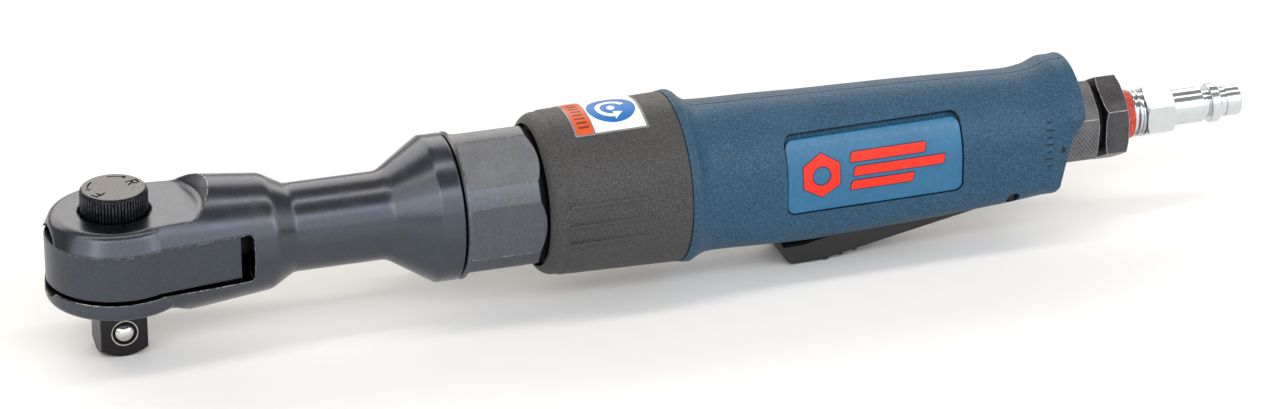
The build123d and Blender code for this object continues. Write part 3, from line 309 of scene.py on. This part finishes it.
def printed(name, colour, rough=0.35):
    """Printing ink or label film, a little uneven and worn through in pinholes."""
    paint = Paint(name)
    uneven = paint.grain(paint.place, 420, 3, 0.6)
    pinholes = paint.fit(paint.grain(paint.place, 3200, 2, 0.6), 0.74, 0.8)
    tone = paint.mix(paint.fit(uneven, 0.3, 0.7), shade(colour, 0.9), shade(colour, 1.06))
    tone = paint.mix(paint.times(pinholes, 0.4), tone, shade(colour, 0.6))
    roughness = paint.fit(uneven, 0.3, 0.7, rough - 0.05, rough + 0.08)
    return paint.done(tone, roughness, paint.bump(uneven, 0.01 * MM), Specular_IOR_Level=0.25)


def felt_pad(name):
    """Grey felt with its fibres along the tool."""
    paint = Paint(name)
    fibres = paint.grain(paint.stretched(500, 900, 900), 1, 5, 0.7)
    tone = paint.mix(fibres, (0.16, 0.15, 0.13, 1), (0.4, 0.38, 0.34, 1))
    return paint.done(tone, paint.fit(fibres, 0.2, 0.8, 0.85, 1.0), paint.bump(fibres, 0.2 * MM))


def sealing_paste(name):
    """Cured thread sealant: a waxy red-orange with darker hollows."""
    paint = Paint(name)
    lumps = paint.grain(paint.place, 900, 3, 0.6)
    tone = paint.mix(paint.fit(lumps, 0.3, 0.65), (0.28, 0.014, 0.004, 1), (0.68, 0.05, 0.012, 1))
    normal = paint.bump(lumps, 0.1 * MM)
    return paint.done(tone, paint.fit(lumps, 0.3, 0.7, 0.42, 0.26), normal)


def laminate(name):
    """Phenolic cloth laminate of the vanes."""
    paint = Paint(name)
    weave = paint.node("ShaderNodeTexBrick", (paint.stretched(900, 900, 900),)).outputs[1]
    layers = paint.grain(paint.stretched(60, 2500, 2500), 1, 2, 0.5)
    tone = paint.mix(layers, (0.09, 0.035, 0.014, 1), (0.2, 0.085, 0.035, 1))
    return paint.done(tone, paint.fit(layers, 0.3, 0.7, 0.4, 0.55), paint.bump(weave, 0.02 * MM))


BLUED = (0.073, 0.083, 0.1)
BLACKENED = (0.03, 0.03, 0.034)
PHOSPHATED = (0.1, 0.113, 0.132)
STEEL = (0.7, 0.69, 0.67, 1)
ZINC = (0.6, 0.635, 0.65, 1)
GRIP_BLUE = (0.015, 0.057, 0.104)
LABEL_BLUE = (0.012, 0.115, 0.235)
SIGNAL_RED = (0.78, 0.028, 0.012, 1)

head_finish = dark_steel("blued_head", BLUED, 0.25, wear=0.85, edge=0.3 * MM, round_off=0.9 * MM)
yoke_finish = dark_steel("blued_yoke", shade(BLUED, 0.9), 0.34, streaks=0.15, grit=0.8, wear=0.5)
nut_finish = dark_steel("phosphated_nut", PHOSPHATED, 0.32, streaks=0.35, grit=1.0, wear=0.8, turned=True)
black_finish = dark_steel("black_steel", BLACKENED, 0.34, streaks=0.2, grit=0.8, wear=0.5)
bushing_finish = hatched_steel("milled_bushing", (0.11, 0.111, 0.12), 0.34, hatch=0.6)
adapter_finish = hatched_steel("milled_adapter", (0.06, 0.06, 0.065), 0.36, hatch=0.15, grit=0.7)
steel_finish = bright_metal("bright_steel", STEEL, 0.12)
spring_finish = bright_metal("spring_steel", (0.42, 0.42, 0.43, 1), 0.25)
zinc_finish = bright_metal("zinc_plate", ZINC, 0.12, marks=0.15, tarnish=0.2, gap=2.0 * MM)
bronze_finish = bright_metal("bronze", (0.62, 0.36, 0.16, 1), 0.3, tarnish=0.6)
cast_finish = bright_metal("cast_plate", (0.35, 0.35, 0.36, 1), 0.42, marks=0.8, tarnish=0.6)
alloy_finish = bright_metal("housing_alloy", (0.5, 0.51, 0.52, 1), 0.4, marks=0.9, gap=8 * MM)
sleeve_finish = moulded("dark_sleeve", (0.044, 0.043, 0.043), 0.48, 0.42 * MM, 0.08 * MM, 1.3, gloss=0.3)
grip_finish = moulded("blue_grip", GRIP_BLUE, 0.46, 0.5 * MM, 0.09 * MM, 1.3, gloss=0.32)
label_finish = moulded("blue_label", LABEL_BLUE, 0.28, 1.2 * MM, 0.006 * MM, 0.25)
lever_finish = moulded("black_lever", (0.013, 0.013, 0.0125), 0.36, 0.5 * MM, 0.012 * MM, 0.6)
rubber_finish = moulded("black_rubber", (0.006, 0.006, 0.006), 0.6, 0.6 * MM, 0.02 * MM, 0.5, gloss=0.2)
film_finish = printed("sticker_film", (0.2, 0.2, 0.2, 1), 0.2)
sealant_finish = sealing_paste("red_sealant")


def seat_ring(name):
    """The ball's seat: black oxide with a thin bright rim round its outer edge."""
    low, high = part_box("drive_ball_ring")
    middle = (low + high) / 2
    paint = Paint(name, metallic=1.0)
    from_ball = paint.length(paint.sum("SUBTRACT", paint.x, middle.x),
                             paint.sum("SUBTRACT", paint.z, middle.z))
    outer = (high.x - low.x) / 2
    uneven = paint.grain(paint.place, 700, 3, 0.6)
    wander = paint.fit(uneven, 0.3, 0.7, -0.06 * MM, 0.06 * MM)
    rim = paint.fit(paint.sum("ADD", from_ball, wander), outer - 0.3 * MM, outer - 0.22 * MM)
    tone = paint.mix(rim, (0.02, 0.018, 0.014, 1), (0.6, 0.57, 0.5, 1))
    return paint.done(tone, paint.fit(uneven, 0.3, 0.7, 0.25, 0.4), paint.bump(rim, 0.05 * MM))


SLOT_FINISHES = {
    "blued_steel": head_finish,
    "black_steel": black_finish,
    "bright_steel": steel_finish,
    "spring_steel": spring_finish,
    "phosphated_steel": nut_finish,
    "zinc_plate": zinc_finish,
    "bronze": bronze_finish,
    "cast_plate": cast_finish,
    "housing_alloy": alloy_finish,
    "vane_laminate": laminate("vane_laminate"),
    "dark_sleeve": sleeve_finish,
    "blue_grip": grip_finish,
    "label_blue": label_finish,
    "black_lever": lever_finish,
    "black_rubber": rubber_finish,
    "sticker_film": film_finish,
    "felt": felt_pad("felt"),
    "red_sealant": sealant_finish,
}
# Nodes that look different from the rest of their slot
NODE_FINISHES = {
    "yoke": yoke_finish,
    "inlet_bushing": bushing_finish,
    "inlet_adapter": adapter_finish,
    "drive_ball_ring": seat_ring("ball_seat"),
    "crankshaft": black_finish,
    "drive_bushing": black_finish,
    "lever_pin": black_finish,
    "neck_bearing": black_finish,
}
slot_of = {part["node"]: part["material_slot"] for part in frame["record"]["subparts"]}
for name, node in frame["nodes"].items():
    finish = NODE_FINISHES.get(name) or SLOT_FINISHES[slot_of[name]]
    for material_slot in node.material_slots:
        material_slot.material = finish


def place_mesh(name, mesh, finish, body, sharp=32):
    """Puts a finished mesh in the scene, smooth but for its sharp edges, riding on a body."""
    mesh.name = name
    mesh.materials.clear()
    mesh.materials.append(finish)
    for face in mesh.polygons:
        face.use_smooth = True
    mesh.set_sharp_from_angle(angle=math.radians(sharp))
    piece = bpy.data.objects.new(name, mesh)
    bpy.context.scene.collection.objects.link(piece)
    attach(piece, body)
    return piece


def slab(outlines, thickness, step):
    """A flat slab in the XY plane, cut into a grid. An outline inside another one is a hole."""
    curve = bpy.data.curves.new("outline", "CURVE")
    curve.dimensions = "2D"
    curve.fill_mode = "BOTH"
    curve.extrude = thickness / 2
    for points in outlines:
        spline = curve.splines.new("POLY")
        spline.points.add(len(points) - 1)
        for point, (u, v) in zip(spline.points, points):
            point.co = (u, v, 0, 1)
        spline.use_cyclic_u = True
    holder = bpy.data.objects.new("outline", curve)
    mesh = bpy.data.meshes.new_from_object(holder)
    bpy.data.objects.remove(holder)
    grid = bmesh.new()
    grid.from_mesh(mesh)
    bmesh.ops.remove_doubles(grid, verts=grid.verts, dist=1e-7)
    for axis in (0, 1):
        low = min(vertex.co[axis] for vertex in grid.verts)
        high = max(vertex.co[axis] for vertex in grid.verts)
        for cut in range(1, int((high - low) / step) + 1):
            spot = Vector((0, 0, 0))
            spot[axis] = low + cut * step
            way = Vector((0, 0, 0))
            way[axis] = 1
            parts = grid.verts[:] + grid.edges[:] + grid.faces[:]
            bmesh.ops.bisect_plane(grid, geom=parts, plane_co=spot, plane_no=way, dist=1e-7)
    grid.to_mesh(mesh)
    grid.free()
    return mesh


def lay_on(mesh, node, seek, thickness):
    """Lays a slab on a CAD node, with 15 % of its thickness sunk in.

    seek(u, v) gives the ray that finds the surface under each point.
    """
    source = frame["nodes"][node].data
    tree = BVHTree.FromPolygons([v.co for v in source.vertices], [p.vertices for p in source.polygons])
    for vertex in mesh.vertices:
        start, way = seek(vertex.co.x, vertex.co.y)
        spot, normal, _, _ = tree.ray_cast(start, way)
        if normal.dot(way) > 0:
            normal = -normal
        vertex.co = spot + normal * (vertex.co.z + 0.35 * thickness)
    mesh.update()
    return mesh


OUTSIDE = 80 * MM


def from_left(u, v):
    """The ray of a drawing on the camera's side: u along the tool, v up from its axis."""
    return Vector((u, -OUTSIDE, AXIS_Z + v)), Vector((0, 1, 0))


def from_right(u, v):
    """The same drawing on the other side, turned so that it still reads from left to right."""
    return Vector((LABEL_MIDDLE * 2 - u, OUTSIDE, AXIS_Z + v)), Vector((0, -1, 0))


def from_outside(u, v):
    """The ray of a drawing wrapped round the sleeve: v is the arc's length, from -Y towards +Z."""
    out = Vector((0, -math.cos(v / STICKER_R), math.sin(v / STICKER_R)))
    return Vector((u, 0, AXIS_Z)) + out * OUTSIDE, -out


def circle(u, v, radius, steps=64, start=0.0):
    """A closed outline of steps points. With 6 of them it is a hexagon."""
    turns = (start + 2 * math.pi * step / steps for step in range(steps))
    return [(u + radius * math.cos(turn), v + radius * math.sin(turn)) for turn in turns]


def rounded_bar(u0, u1, v0, v1, radius, lean=0.0):
    """A bar with rounded ends and corners, leaning lean to the right over its height."""
    corners = ((u1 - radius, v1 - radius, 0), (u0 + radius, v1 - radius, 90),
               (u0 + radius, v0 + radius, 180), (u1 - radius, v0 + radius, 270))
    points = []
    for u, v, start in corners:
        for step in range(7):
            turn = math.radians(start + 15 * step)
            pu, pv = u + radius * math.cos(turn), v + radius * math.sin(turn)
            points.append((pu + lean * (pv - v0) / (v1 - v0), pv))
    return points


def decal(name, outlines, node, seek, finish, thickness, step=1.2 * MM):
    """A thin printed piece on a CAD node of the root body."""
    mesh = lay_on(slab(outlines, thickness, step), node, seek, thickness)
    return place_mesh(name, mesh, finish, "root")


# The label plates carry a plain mark: a hexagon nut and three stripes, in red with a dark rim
MARK_V = 2.4 * MM
NUT_U = LABEL_MIDDLE - 15.6 * MM
NUT_R = 6.0 * MM
NUT_HOLE_R = 2.7 * MM
STRIPES = ((-7.4 * MM, 14.2 * MM), (-6.6 * MM, 19.6 * MM), (-7.4 * MM, 10.6 * MM))
STRIPE_PITCH = 3.9 * MM
STRIPE_HALF = 1.25 * MM


def mark_outlines(grow):
    """The mark's outlines in metres, each grown outwards by grow."""
    nut = circle(NUT_U, MARK_V, NUT_R + grow, 6, math.radians(30))
    hole = circle(NUT_U, MARK_V, NUT_HOLE_R - grow, 40)
    stripes = []
    for row, (start, end) in enumerate(STRIPES):
        v = MARK_V + (1 - row) * STRIPE_PITCH
        stripes.append(rounded_bar(
            LABEL_MIDDLE + start - grow, LABEL_MIDDLE + end + grow,
            v - STRIPE_HALF - grow, v + STRIPE_HALF + grow, 0.5 * MM + grow, 0.7 * MM))
    return [nut, hole] + stripes


red_ink = printed("red_ink", SIGNAL_RED, 0.3)
rim_ink = printed("dark_blue_ink", (0.012, 0.03, 0.07, 1), 0.3)
for side, seek in (("left", from_left), ("right", from_right)):
    plate = f"label_plate_{side}"
    decal(f"mark_rim_{side}", mark_outlines(0.28 * MM), plate, seek, rim_ink, 0.06 * MM)
    decal(f"mark_{side}", mark_outlines(0), plate, seek, red_ink, 0.16 * MM)

# Sticker: printed fields inside a clear film border
first_turn, last_turn = math.radians(63.5), math.radians(114.5)
v_low, v_high = first_turn * STICKER_R, last_turn * STICKER_R
disc_v = math.radians(87) * STICKER_R
disc_u = film_low.x + 12.6 * MM
orange_ink = printed("orange_ink", (0.62, 0.075, 0.012, 1))
white_ink = printed("white_ink", (0.8, 0.81, 0.81, 1))
blue_ink = printed("blue_ink", (0.004, 0.13, 0.42, 1))
INK = 0.05 * MM


def sticker_print(name, outlines, finish, layers):
    """A printed field of the sticker, layers of ink thick."""
    decal(name, outlines, "info_sticker", from_outside, finish, INK * layers, 0.8 * MM)


def turning_arrow(u, v, radius, width):
    """A three-quarter ring with an arrow head."""
    outer = [(radius + width / 2, math.radians(20 + 10 * step)) for step in range(26)]
    inner = [(radius - width / 2, math.radians(270 - 10 * step)) for step in range(26)]
    head = [(radius - width * 1.3, math.radians(270)), (radius, math.radians(315)),
            (radius + width * 1.3, math.radians(270))]
    points = outer + head[::-1] + inner
    return [(u + r * math.cos(turn), v + r * math.sin(turn)) for r, turn in points]


band_start, band_end = film_low.x + 0.7 * MM, film_low.x + 5.3 * MM
field_start, field_end = film_low.x + 5.7 * MM, film_high.x - 0.7 * MM
band = rounded_bar(band_start, band_end, v_low, v_high, 0.3 * MM)
field = rounded_bar(field_start, field_end, v_low, v_high, 0.3 * MM)
bar_start, bar_end = film_low.x + 1.6 * MM, film_low.x + 4.4 * MM
bar_levels = [v_low + 2.2 * MM + 1.9 * MM * row for row in range(8)]
bars = [rounded_bar(bar_start, bar_end, level, level + 0.7 * MM, 0.2 * MM) for level in bar_levels]
sticker_print("sticker_band", [band], orange_ink, 1)
sticker_print("sticker_bars", bars, printed("dark_ink", (0.1, 0.03, 0.02, 1)), 2)
sticker_print("sticker_field", [field], white_ink, 1)
sticker_print("sticker_disc", [circle(disc_u, disc_v, 6.6 * MM)], blue_ink, 2)
sticker_print("sticker_arrow", [turning_arrow(disc_u, disc_v, 3.6 * MM, 1.3 * MM)], white_ink, 3)
sticker_print("sticker_dot", [circle(disc_u, disc_v, 1.1 * MM, 32)], white_ink, 3)

# A pad-printed drop and a small scale near the air inlet
black_ink = printed("black_ink", (0.012, 0.014, 0.018, 1), 0.4)
MARKS_U = 256.2 * MM
DROP_U = MARKS_U + 4.0 * MM
TICKS = 7
TICK_PITCH = 2.1 * MM


def tick_mark(tick):
    """One line of the scale. Every other line is longer."""
    half = (1.2 if tick % 2 else 0.8) * MM
    low = TICK_PITCH * tick - 4.6 * MM
    return rounded_bar(MARKS_U - half, MARKS_U + half, low, low + 0.45 * MM, 0.15 * MM)


def drop_point(turn):
    """A point on the drop's outline, pointed at the top where turn is 0."""
    u = DROP_U + 0.9 * MM * math.sin(turn) * math.sin(turn / 2) ** 1.5
    return u, (0.2 + 1.2 * math.cos(turn)) * MM


scale_marks = [tick_mark(tick) for tick in range(TICKS)]
drop = [drop_point(2 * math.pi * step / 40) for step in range(1, 40)]
decal("level_marks", scale_marks, "grip_left", from_left, black_ink, 0.04 * MM)
decal("drop_mark", [drop], "grip_left", from_left, black_ink, 0.04 * MM)


# Reverse knob: the CAD knob with a rounder knurl, a turned top and engraved direction marks
def solid_of_rings(rings, closed_ends=True):
    """A closed mesh through rings of points, each ring with the same count."""
    shape = bmesh.new()
    rows = [[shape.verts.new(point) for point in ring] for ring in rings]
    count = len(rows[0])
    for low, high in zip(rows, rows[1:]):
        for step in range(count):
            after = (step + 1) % count
            shape.faces.new((low[step], low[after], high[after], high[step]))
    if closed_ends:
        shape.faces.new(rows[0][::-1])
        shape.faces.new(rows[-1])
    bmesh.ops.recalc_face_normals(shape, faces=shape.faces)
    mesh = bpy.data.meshes.new("rings")
    shape.to_mesh(mesh)
    shape.free()
    return mesh


RIBS = 64
RIB_STEPS = 10
KNURL_DEPTH = 0.5 * MM
FLANK_SLOPE = 3.4


def knurl_radius(share):
    """The knurl's radius, from 0 to 1 across one rib: a flat crest and a rounded valley."""
    rise = min(1.0, (0.5 - abs(share - 0.5)) * FLANK_SLOPE)
    return KNOB_R - KNURL_DEPTH * (1 - rise * rise * (3 - 2 * rise))


def knob_ring(z, limit):
    """A level ring of points: the knurl's outline, cut off at a round limit."""
    points = []
    for step in range(RIBS * RIB_STEPS):
        turn = 2 * math.pi * step / (RIBS * RIB_STEPS)
        radius = min(limit, knurl_radius(step % RIB_STEPS / RIB_STEPS))
        points.append((radius * math.cos(turn), radius * math.sin(turn), z))
    return points


def arc(u, v, radius, start, end, steps=12):
    """Points along an arc, with angles in degrees."""
    turns = [math.radians(start + (end - start) * step / steps) for step in range(steps + 1)]
    return [(u + radius * math.cos(turn), v + radius * math.sin(turn)) for turn in turns]


# Block letters 3.5 mm tall, as outlines in mm; the second outline of R is its hole
LETTER_F = [[(-1.2, -1.75), (-0.6, -1.75), (-0.6, -0.3), (0.8, -0.3), (0.8, 0.3), (-0.6, 0.3),
             (-0.6, 1.15), (1.2, 1.15), (1.2, 1.75), (-1.2, 1.75)]]
LETTER_R = [[(-1.2, -1.75), (-0.6, -1.75), (-0.6, -0.3), (-0.05, -0.3), (0.62, -1.75), (1.3, -1.75)]
            + arc(0.25, 0.725, 1.025, -70, 90) + [(-1.2, 1.75)],
            [(-0.6, 0.28)] + arc(0.25, 0.715, 0.435, -90, 90) + [(-0.6, 1.15)]]

# Where the marks lie on the knob's top, with their turns about the knob's axis in degrees
ENGRAVED = 0.3 * MM
LETTERS_FROM_AXIS = 5.7 * MM
LETTERS = ((LETTER_R, 16), (LETTER_F, 214))
ARROWS_R = 6.7 * MM
ARROWS = ((92, 46), (136, 184))


def arc_arrow(radius, start, end, width):
    """A curved arrow round the knob's centre, from start to end in degrees."""
    way = 1 if end > start else -1
    body = end - way * 9
    steps = [start + (body - start) * step / 14 for step in range(15)]
    outer = [(radius + width / 2, turn) for turn in steps]
    inner = [(radius - width / 2, turn) for turn in reversed(steps)]
    head = [(radius + width * 1.7, body), (radius, end), (radius - width * 1.7, body)]
    points = [(r, math.radians(turn)) for r, turn in outer + head + inner]
    return [(r * math.cos(turn), r * math.sin(turn)) for r, turn in points]


def carve(mesh, cutters):
    """The mesh with each cutter mesh taken out of it."""
    holder = bpy.data.objects.new("carved", mesh)
    bpy.context.scene.collection.objects.link(holder)
    tools = []
    for cutter in cutters:
        tool = bpy.data.objects.new("cutter", cutter)
        bpy.context.scene.collection.objects.link(tool)
        tools.append(tool)
        cut = holder.modifiers.new("cut", "BOOLEAN")
        cut.operation = "DIFFERENCE"
        cut.solver = "EXACT"
        cut.object = tool
    bpy.context.view_layer.update()
    result = holder.evaluated_get(bpy.context.evaluated_depsgraph_get())
    carved = bpy.data.meshes.new_from_object(result)
    for extra in tools + [holder]:
        bpy.data.objects.remove(extra)
    return carved


# The knob's profile in mm, as heights and round limits: its stem, then the knurled cap's soft edges
stem_rings = [(23.6, 3.95), (38.2, 3.95)]
cap_rings = [(38.3, 8.6), (38.6, 9.2), (42.0, 9.2), (45.2, 9.2), (45.75, 8.75), (46.1, 8.45), (46.27, 8.2),
             (46.3, 7.9)]
knob_mesh = solid_of_rings([knob_ring(z * MM, limit * MM) for z, limit in stem_rings + cap_rings])
cutters = []
for letter, turn in LETTERS:
    mesh = slab([[(u * MM, v * MM) for u, v in outline] for outline in letter], 2 * ENGRAVED, 1)
    direction = math.radians(turn)
    out = Vector((math.cos(direction), math.sin(direction), 0))
    spot = out * LETTERS_FROM_AXIS + Vector((0, 0, KNOB_TOP))
    mesh.transform(Matrix.Translation(spot) @ Matrix.Rotation(direction - math.pi / 2, 4, "Z"))
    cutters.append(mesh)
for start, end in ARROWS:
    mesh = slab([arc_arrow(ARROWS_R, start, end, 0.55 * MM)], 2 * ENGRAVED, 1)
    mesh.transform(Matrix.Translation((0, 0, KNOB_TOP)))
    cutters.append(mesh)
knob_mesh = carve(knob_mesh, cutters)


def knob_paint():
    """Black oxide, lighter on the turned top, with concentric tool marks and dark engraving."""
    paint = Paint("knob_black", metallic=1.0)
    from_axis = paint.length(paint.x, paint.y)
    fine = paint.grain(paint.join(paint.times(from_axis, 1900), 0.0, 0.0), 1, 3, 0.6)
    below_top = paint.sum("SUBTRACT", KNOB_TOP, paint.z)
    on_top = paint.fit(below_top, 0.04 * MM, 0.1 * MM, 1, 0)
    inside = paint.fit(from_axis, KNOB_R - 1.2 * MM, KNOB_R - 1.1 * MM, 1, 0)
    engraved = paint.times(paint.sum("SUBTRACT", 1.0, on_top), inside)
    speck = paint.grain(paint.place, 1700, 3, 0.6)
    crest = paint.fit(from_axis, KNOB_R - 0.35 * MM, KNOB_R)
    side = paint.mix(paint.fit(speck, 0.4, 0.7), (0.007, 0.008, 0.011, 1), (0.018, 0.021, 0.028, 1))
    worn = paint.times(crest, paint.fit(speck, 0.35, 0.6, 0.05, 0.5))
    side = paint.mix(worn, side, (0.08, 0.09, 0.105, 1))
    top = paint.mix(paint.fit(fine, 0.35, 0.65), (0.085, 0.085, 0.087, 1), (0.14, 0.14, 0.142, 1))
    top = paint.mix(paint.fit(speck, 0.5, 0.75, 0, 0.4), top, (0.24, 0.24, 0.24, 1))
    tone = paint.mix(engraved, paint.mix(on_top, side, top), (0.008, 0.008, 0.009, 1))
    chips = paint.fit(paint.grain(paint.place, 700, 3, 0.7), 0.4, 0.6, 0.1, 0.6)
    edge = paint.times(paint.edges(0.12 * MM), paint.sum("SUBTRACT", 1.0, engraved))
    tone = paint.mix(paint.times(edge, chips), tone, KNOB_EDGE)
    normal = paint.bump(paint.times(fine, on_top), 0.015 * MM, paint.rounded(0.08 * MM))
    normal = paint.bump(speck, 0.008 * MM, normal)
    return paint.done(tone, paint.fit(on_top, 0, 1, 0.3, 0.4), normal)


knob = place_mesh("reverse_knob_engraved", knob_mesh, knob_paint(), "reverse_knob", 25)
for face in knob.data.polygons:
    face.use_smooth = abs(face.normal.z) < 0.98
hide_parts("reverse_knob")


def working_spring(node, body):
    """A copy of a CAD spring with its own mesh, riding on a body in place of the hidden CAD spring."""
    wire = frame["nodes"][node].data.copy()
    spring = place_mesh(f"{node}_wire", wire, spring_finish, body, 60)
    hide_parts(node)
    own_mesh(spring)


working_spring("drive_ball_spring", "anvil")
working_spring("throttle_spring", "root")


# Thread between the sealant and the plug's hexagon
def thread_ridge(start, end, root, crest, steps=72):
    """A screw thread's ridge round the tool axis, fading out at both ends."""
    rings = []
    foot, land = 0.42 * THREAD_PITCH, 0.08 * THREAD_PITCH
    total = int((end - start) / THREAD_PITCH * steps)
    for step in range(total + 1):
        turn = 2 * math.pi * step / steps
        x = start + THREAD_PITCH * step / steps
        fade = min(1.0, step / 20, (total - step) / 20)
        top = root + (crest - root) * fade
        section = ((x - foot, root), (x - land, top), (x + land, top), (x + foot, root))
        rings.append([(px, -r * math.cos(turn), AXIS_Z + r * math.sin(turn)) for px, r in section])
    return solid_of_rings(rings)


RIDGE_START = sealant_high.x + 0.3 * MM
RIDGE_END = RIDGE_START + 3.0 * MM
THREAD_ROOT_R = 5.65 * MM
THREAD_CREST_R = 6.55 * MM
ridge = thread_ridge(RIDGE_START, RIDGE_END, THREAD_ROOT_R, THREAD_CREST_R)
place_mesh("plug_thread", ridge, zinc_finish, "root", 20)


def sealant_bead():
    """The squeezed-out bead of thread sealant: a ring with an uneven, lumpy surface."""
    around, across = 180, 18
    inner, skin = 6.45 * MM, 6.57 * MM
    rings = []
    for step in range(around):
        turn = 2 * math.pi * step / around
        out = Vector((0, math.cos(turn), math.sin(turn)))
        ring = []
        for part in range(across + 1):
            share = part / across
            crown = math.sin(math.pi * share) ** 0.35
            x = sealant_low.x + (sealant_high.x - sealant_low.x) * share
            lump = noise.noise(Vector((x * 900, turn * 3.2, 1))) * 0.22
            lump += noise.noise(Vector((x * 2100, turn * 9, 7))) * 0.1
            wave = 0.08 * math.sin(2 * math.pi * (x / THREAD_PITCH - turn / (2 * math.pi)))
            radius = skin + (0.3 + min(0.12, lump + wave)) * crown * MM
            ring.append(Vector((x, 0, AXIS_Z)) + out * radius)
        ring.append(Vector((sealant_high.x, 0, AXIS_Z)) + out * inner)
        ring.append(Vector((sealant_low.x, 0, AXIS_Z)) + out * inner)
        rings.append(ring)
    rings.append(rings[0])
    mesh = solid_of_rings(rings, closed_ends=False)
    weld = bmesh.new()
    weld.from_mesh(mesh)
    bmesh.ops.remove_doubles(weld, verts=weld.verts, dist=1e-7)
    bmesh.ops.recalc_face_normals(weld, faces=weld.faces)
    weld.to_mesh(mesh)
    weld.free()
    return mesh


bead = place_mesh("sealant_bead", sealant_bead(), sealant_finish, "root", 60)
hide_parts("thread_sealant")


# Studio: a pale floor, a pale surround and soft lights along the tool
TOOL_MIDDLE = Vector((150 * MM, 0, AXIS_Z))
WARM = (1.0, 0.93, 0.84)


def soft_light(name, elevation, distance, size, radiance, turn=0.0, colour=(1.0, 1.0, 1.0)):
    """An area light looking at the tool; elevation is in degrees from -Y up and over, turn about Z."""
    lamp = bpy.data.lights.new(name, "AREA")
    lamp.shape = "RECTANGLE"
    lamp.size, lamp.size_y = size
    lamp.energy = radiance * math.pi * size[0] * size[1]
    lamp.color = colour
    holder = bpy.data.objects.new(name, lamp)
    bpy.context.scene.collection.objects.link(holder)
    rise = math.radians(elevation)
    way = Vector((0, -math.cos(rise), math.sin(rise)))
    way.rotate(Matrix.Rotation(math.radians(turn), 3, "Z"))
    holder.location = TOOL_MIDDLE + way * distance
    holder.rotation_euler = way.to_track_quat("Z", "Y").to_euler()


soft_light("front_strip", 46, 1.5, (3.6, 0.28), 3.0)
soft_light("front_panel", 27, 1.5, (3.6, 0.72), 1.4)
soft_light("low_fill", 6, 1.6, (3.6, 0.4), 0.9)
soft_light("overhead_strip", 91, 1.5, (3.0, 0.22), 5.0, colour=WARM)
soft_light("back_panel", 149, 1.6, (3.0, 1.0), 2.6, colour=WARM)
soft_light("left_panel", 28, 1.5, (1.2, 1.1), 1.4, turn=-64)
soft_light("right_panel", 28, 1.5, (1.2, 1.1), 1.4, turn=64)

world = bpy.data.worlds.new("surround")
world.use_nodes = True
world.node_tree.nodes["Background"].inputs["Color"].default_value = (0.97, 0.98, 1.0, 1)
world.node_tree.nodes["Background"].inputs["Strength"].default_value = 0.35
bpy.context.scene.world = world

FLOOR_HALF = 3.0
FLOOR_Z = cad_low.z - 0.05 * MM
floor_mesh = bpy.data.meshes.new("floor")
corners = [(sx * FLOOR_HALF, sy * FLOOR_HALF, FLOOR_Z) for sx, sy in ((-1, -1), (1, -1), (1, 1), (-1, 1))]
floor_mesh.from_pydata(corners, [], [(0, 1, 2, 3)])
floor = bpy.data.objects.new("floor", floor_mesh)
bpy.context.scene.collection.objects.link(floor)
floor_paint = Paint("floor_paint")
cloud = floor_paint.grain(floor_paint.place, 9, 3, 0.5)
floor_tone = floor_paint.mix(cloud, (0.8, 0.8, 0.8, 1), (0.83, 0.83, 0.83, 1))
floor_mesh.materials.append(floor_paint.done(floor_tone, 0.9))

# The camera that the photo was fitted with: its place, its turn to the right and its tilt down
CAMERA_PLACE = (-0.2547, -1.2351, 0.6242)
heading, tilt = math.radians(17.94), math.radians(24.94)
camera_data = bpy.data.cameras.new("camera")
camera_data.sensor_width = 36
camera_data.lens = 148.25
camera_data.clip_start = 0.01
camera = bpy.data.objects.new("camera", camera_data)
bpy.context.scene.collection.objects.link(camera)
forward = Vector((math.sin(heading) * math.cos(tilt), math.cos(heading) * math.cos(tilt), -math.sin(tilt)))
camera.location = CAMERA_PLACE
camera.rotation_mode = "QUATERNION"
camera.rotation_quaternion = forward.to_track_quat("-Z", "Y")
bpy.context.scene.camera = camera
bpy.context.scene.view_settings.view_transform = "Standard"
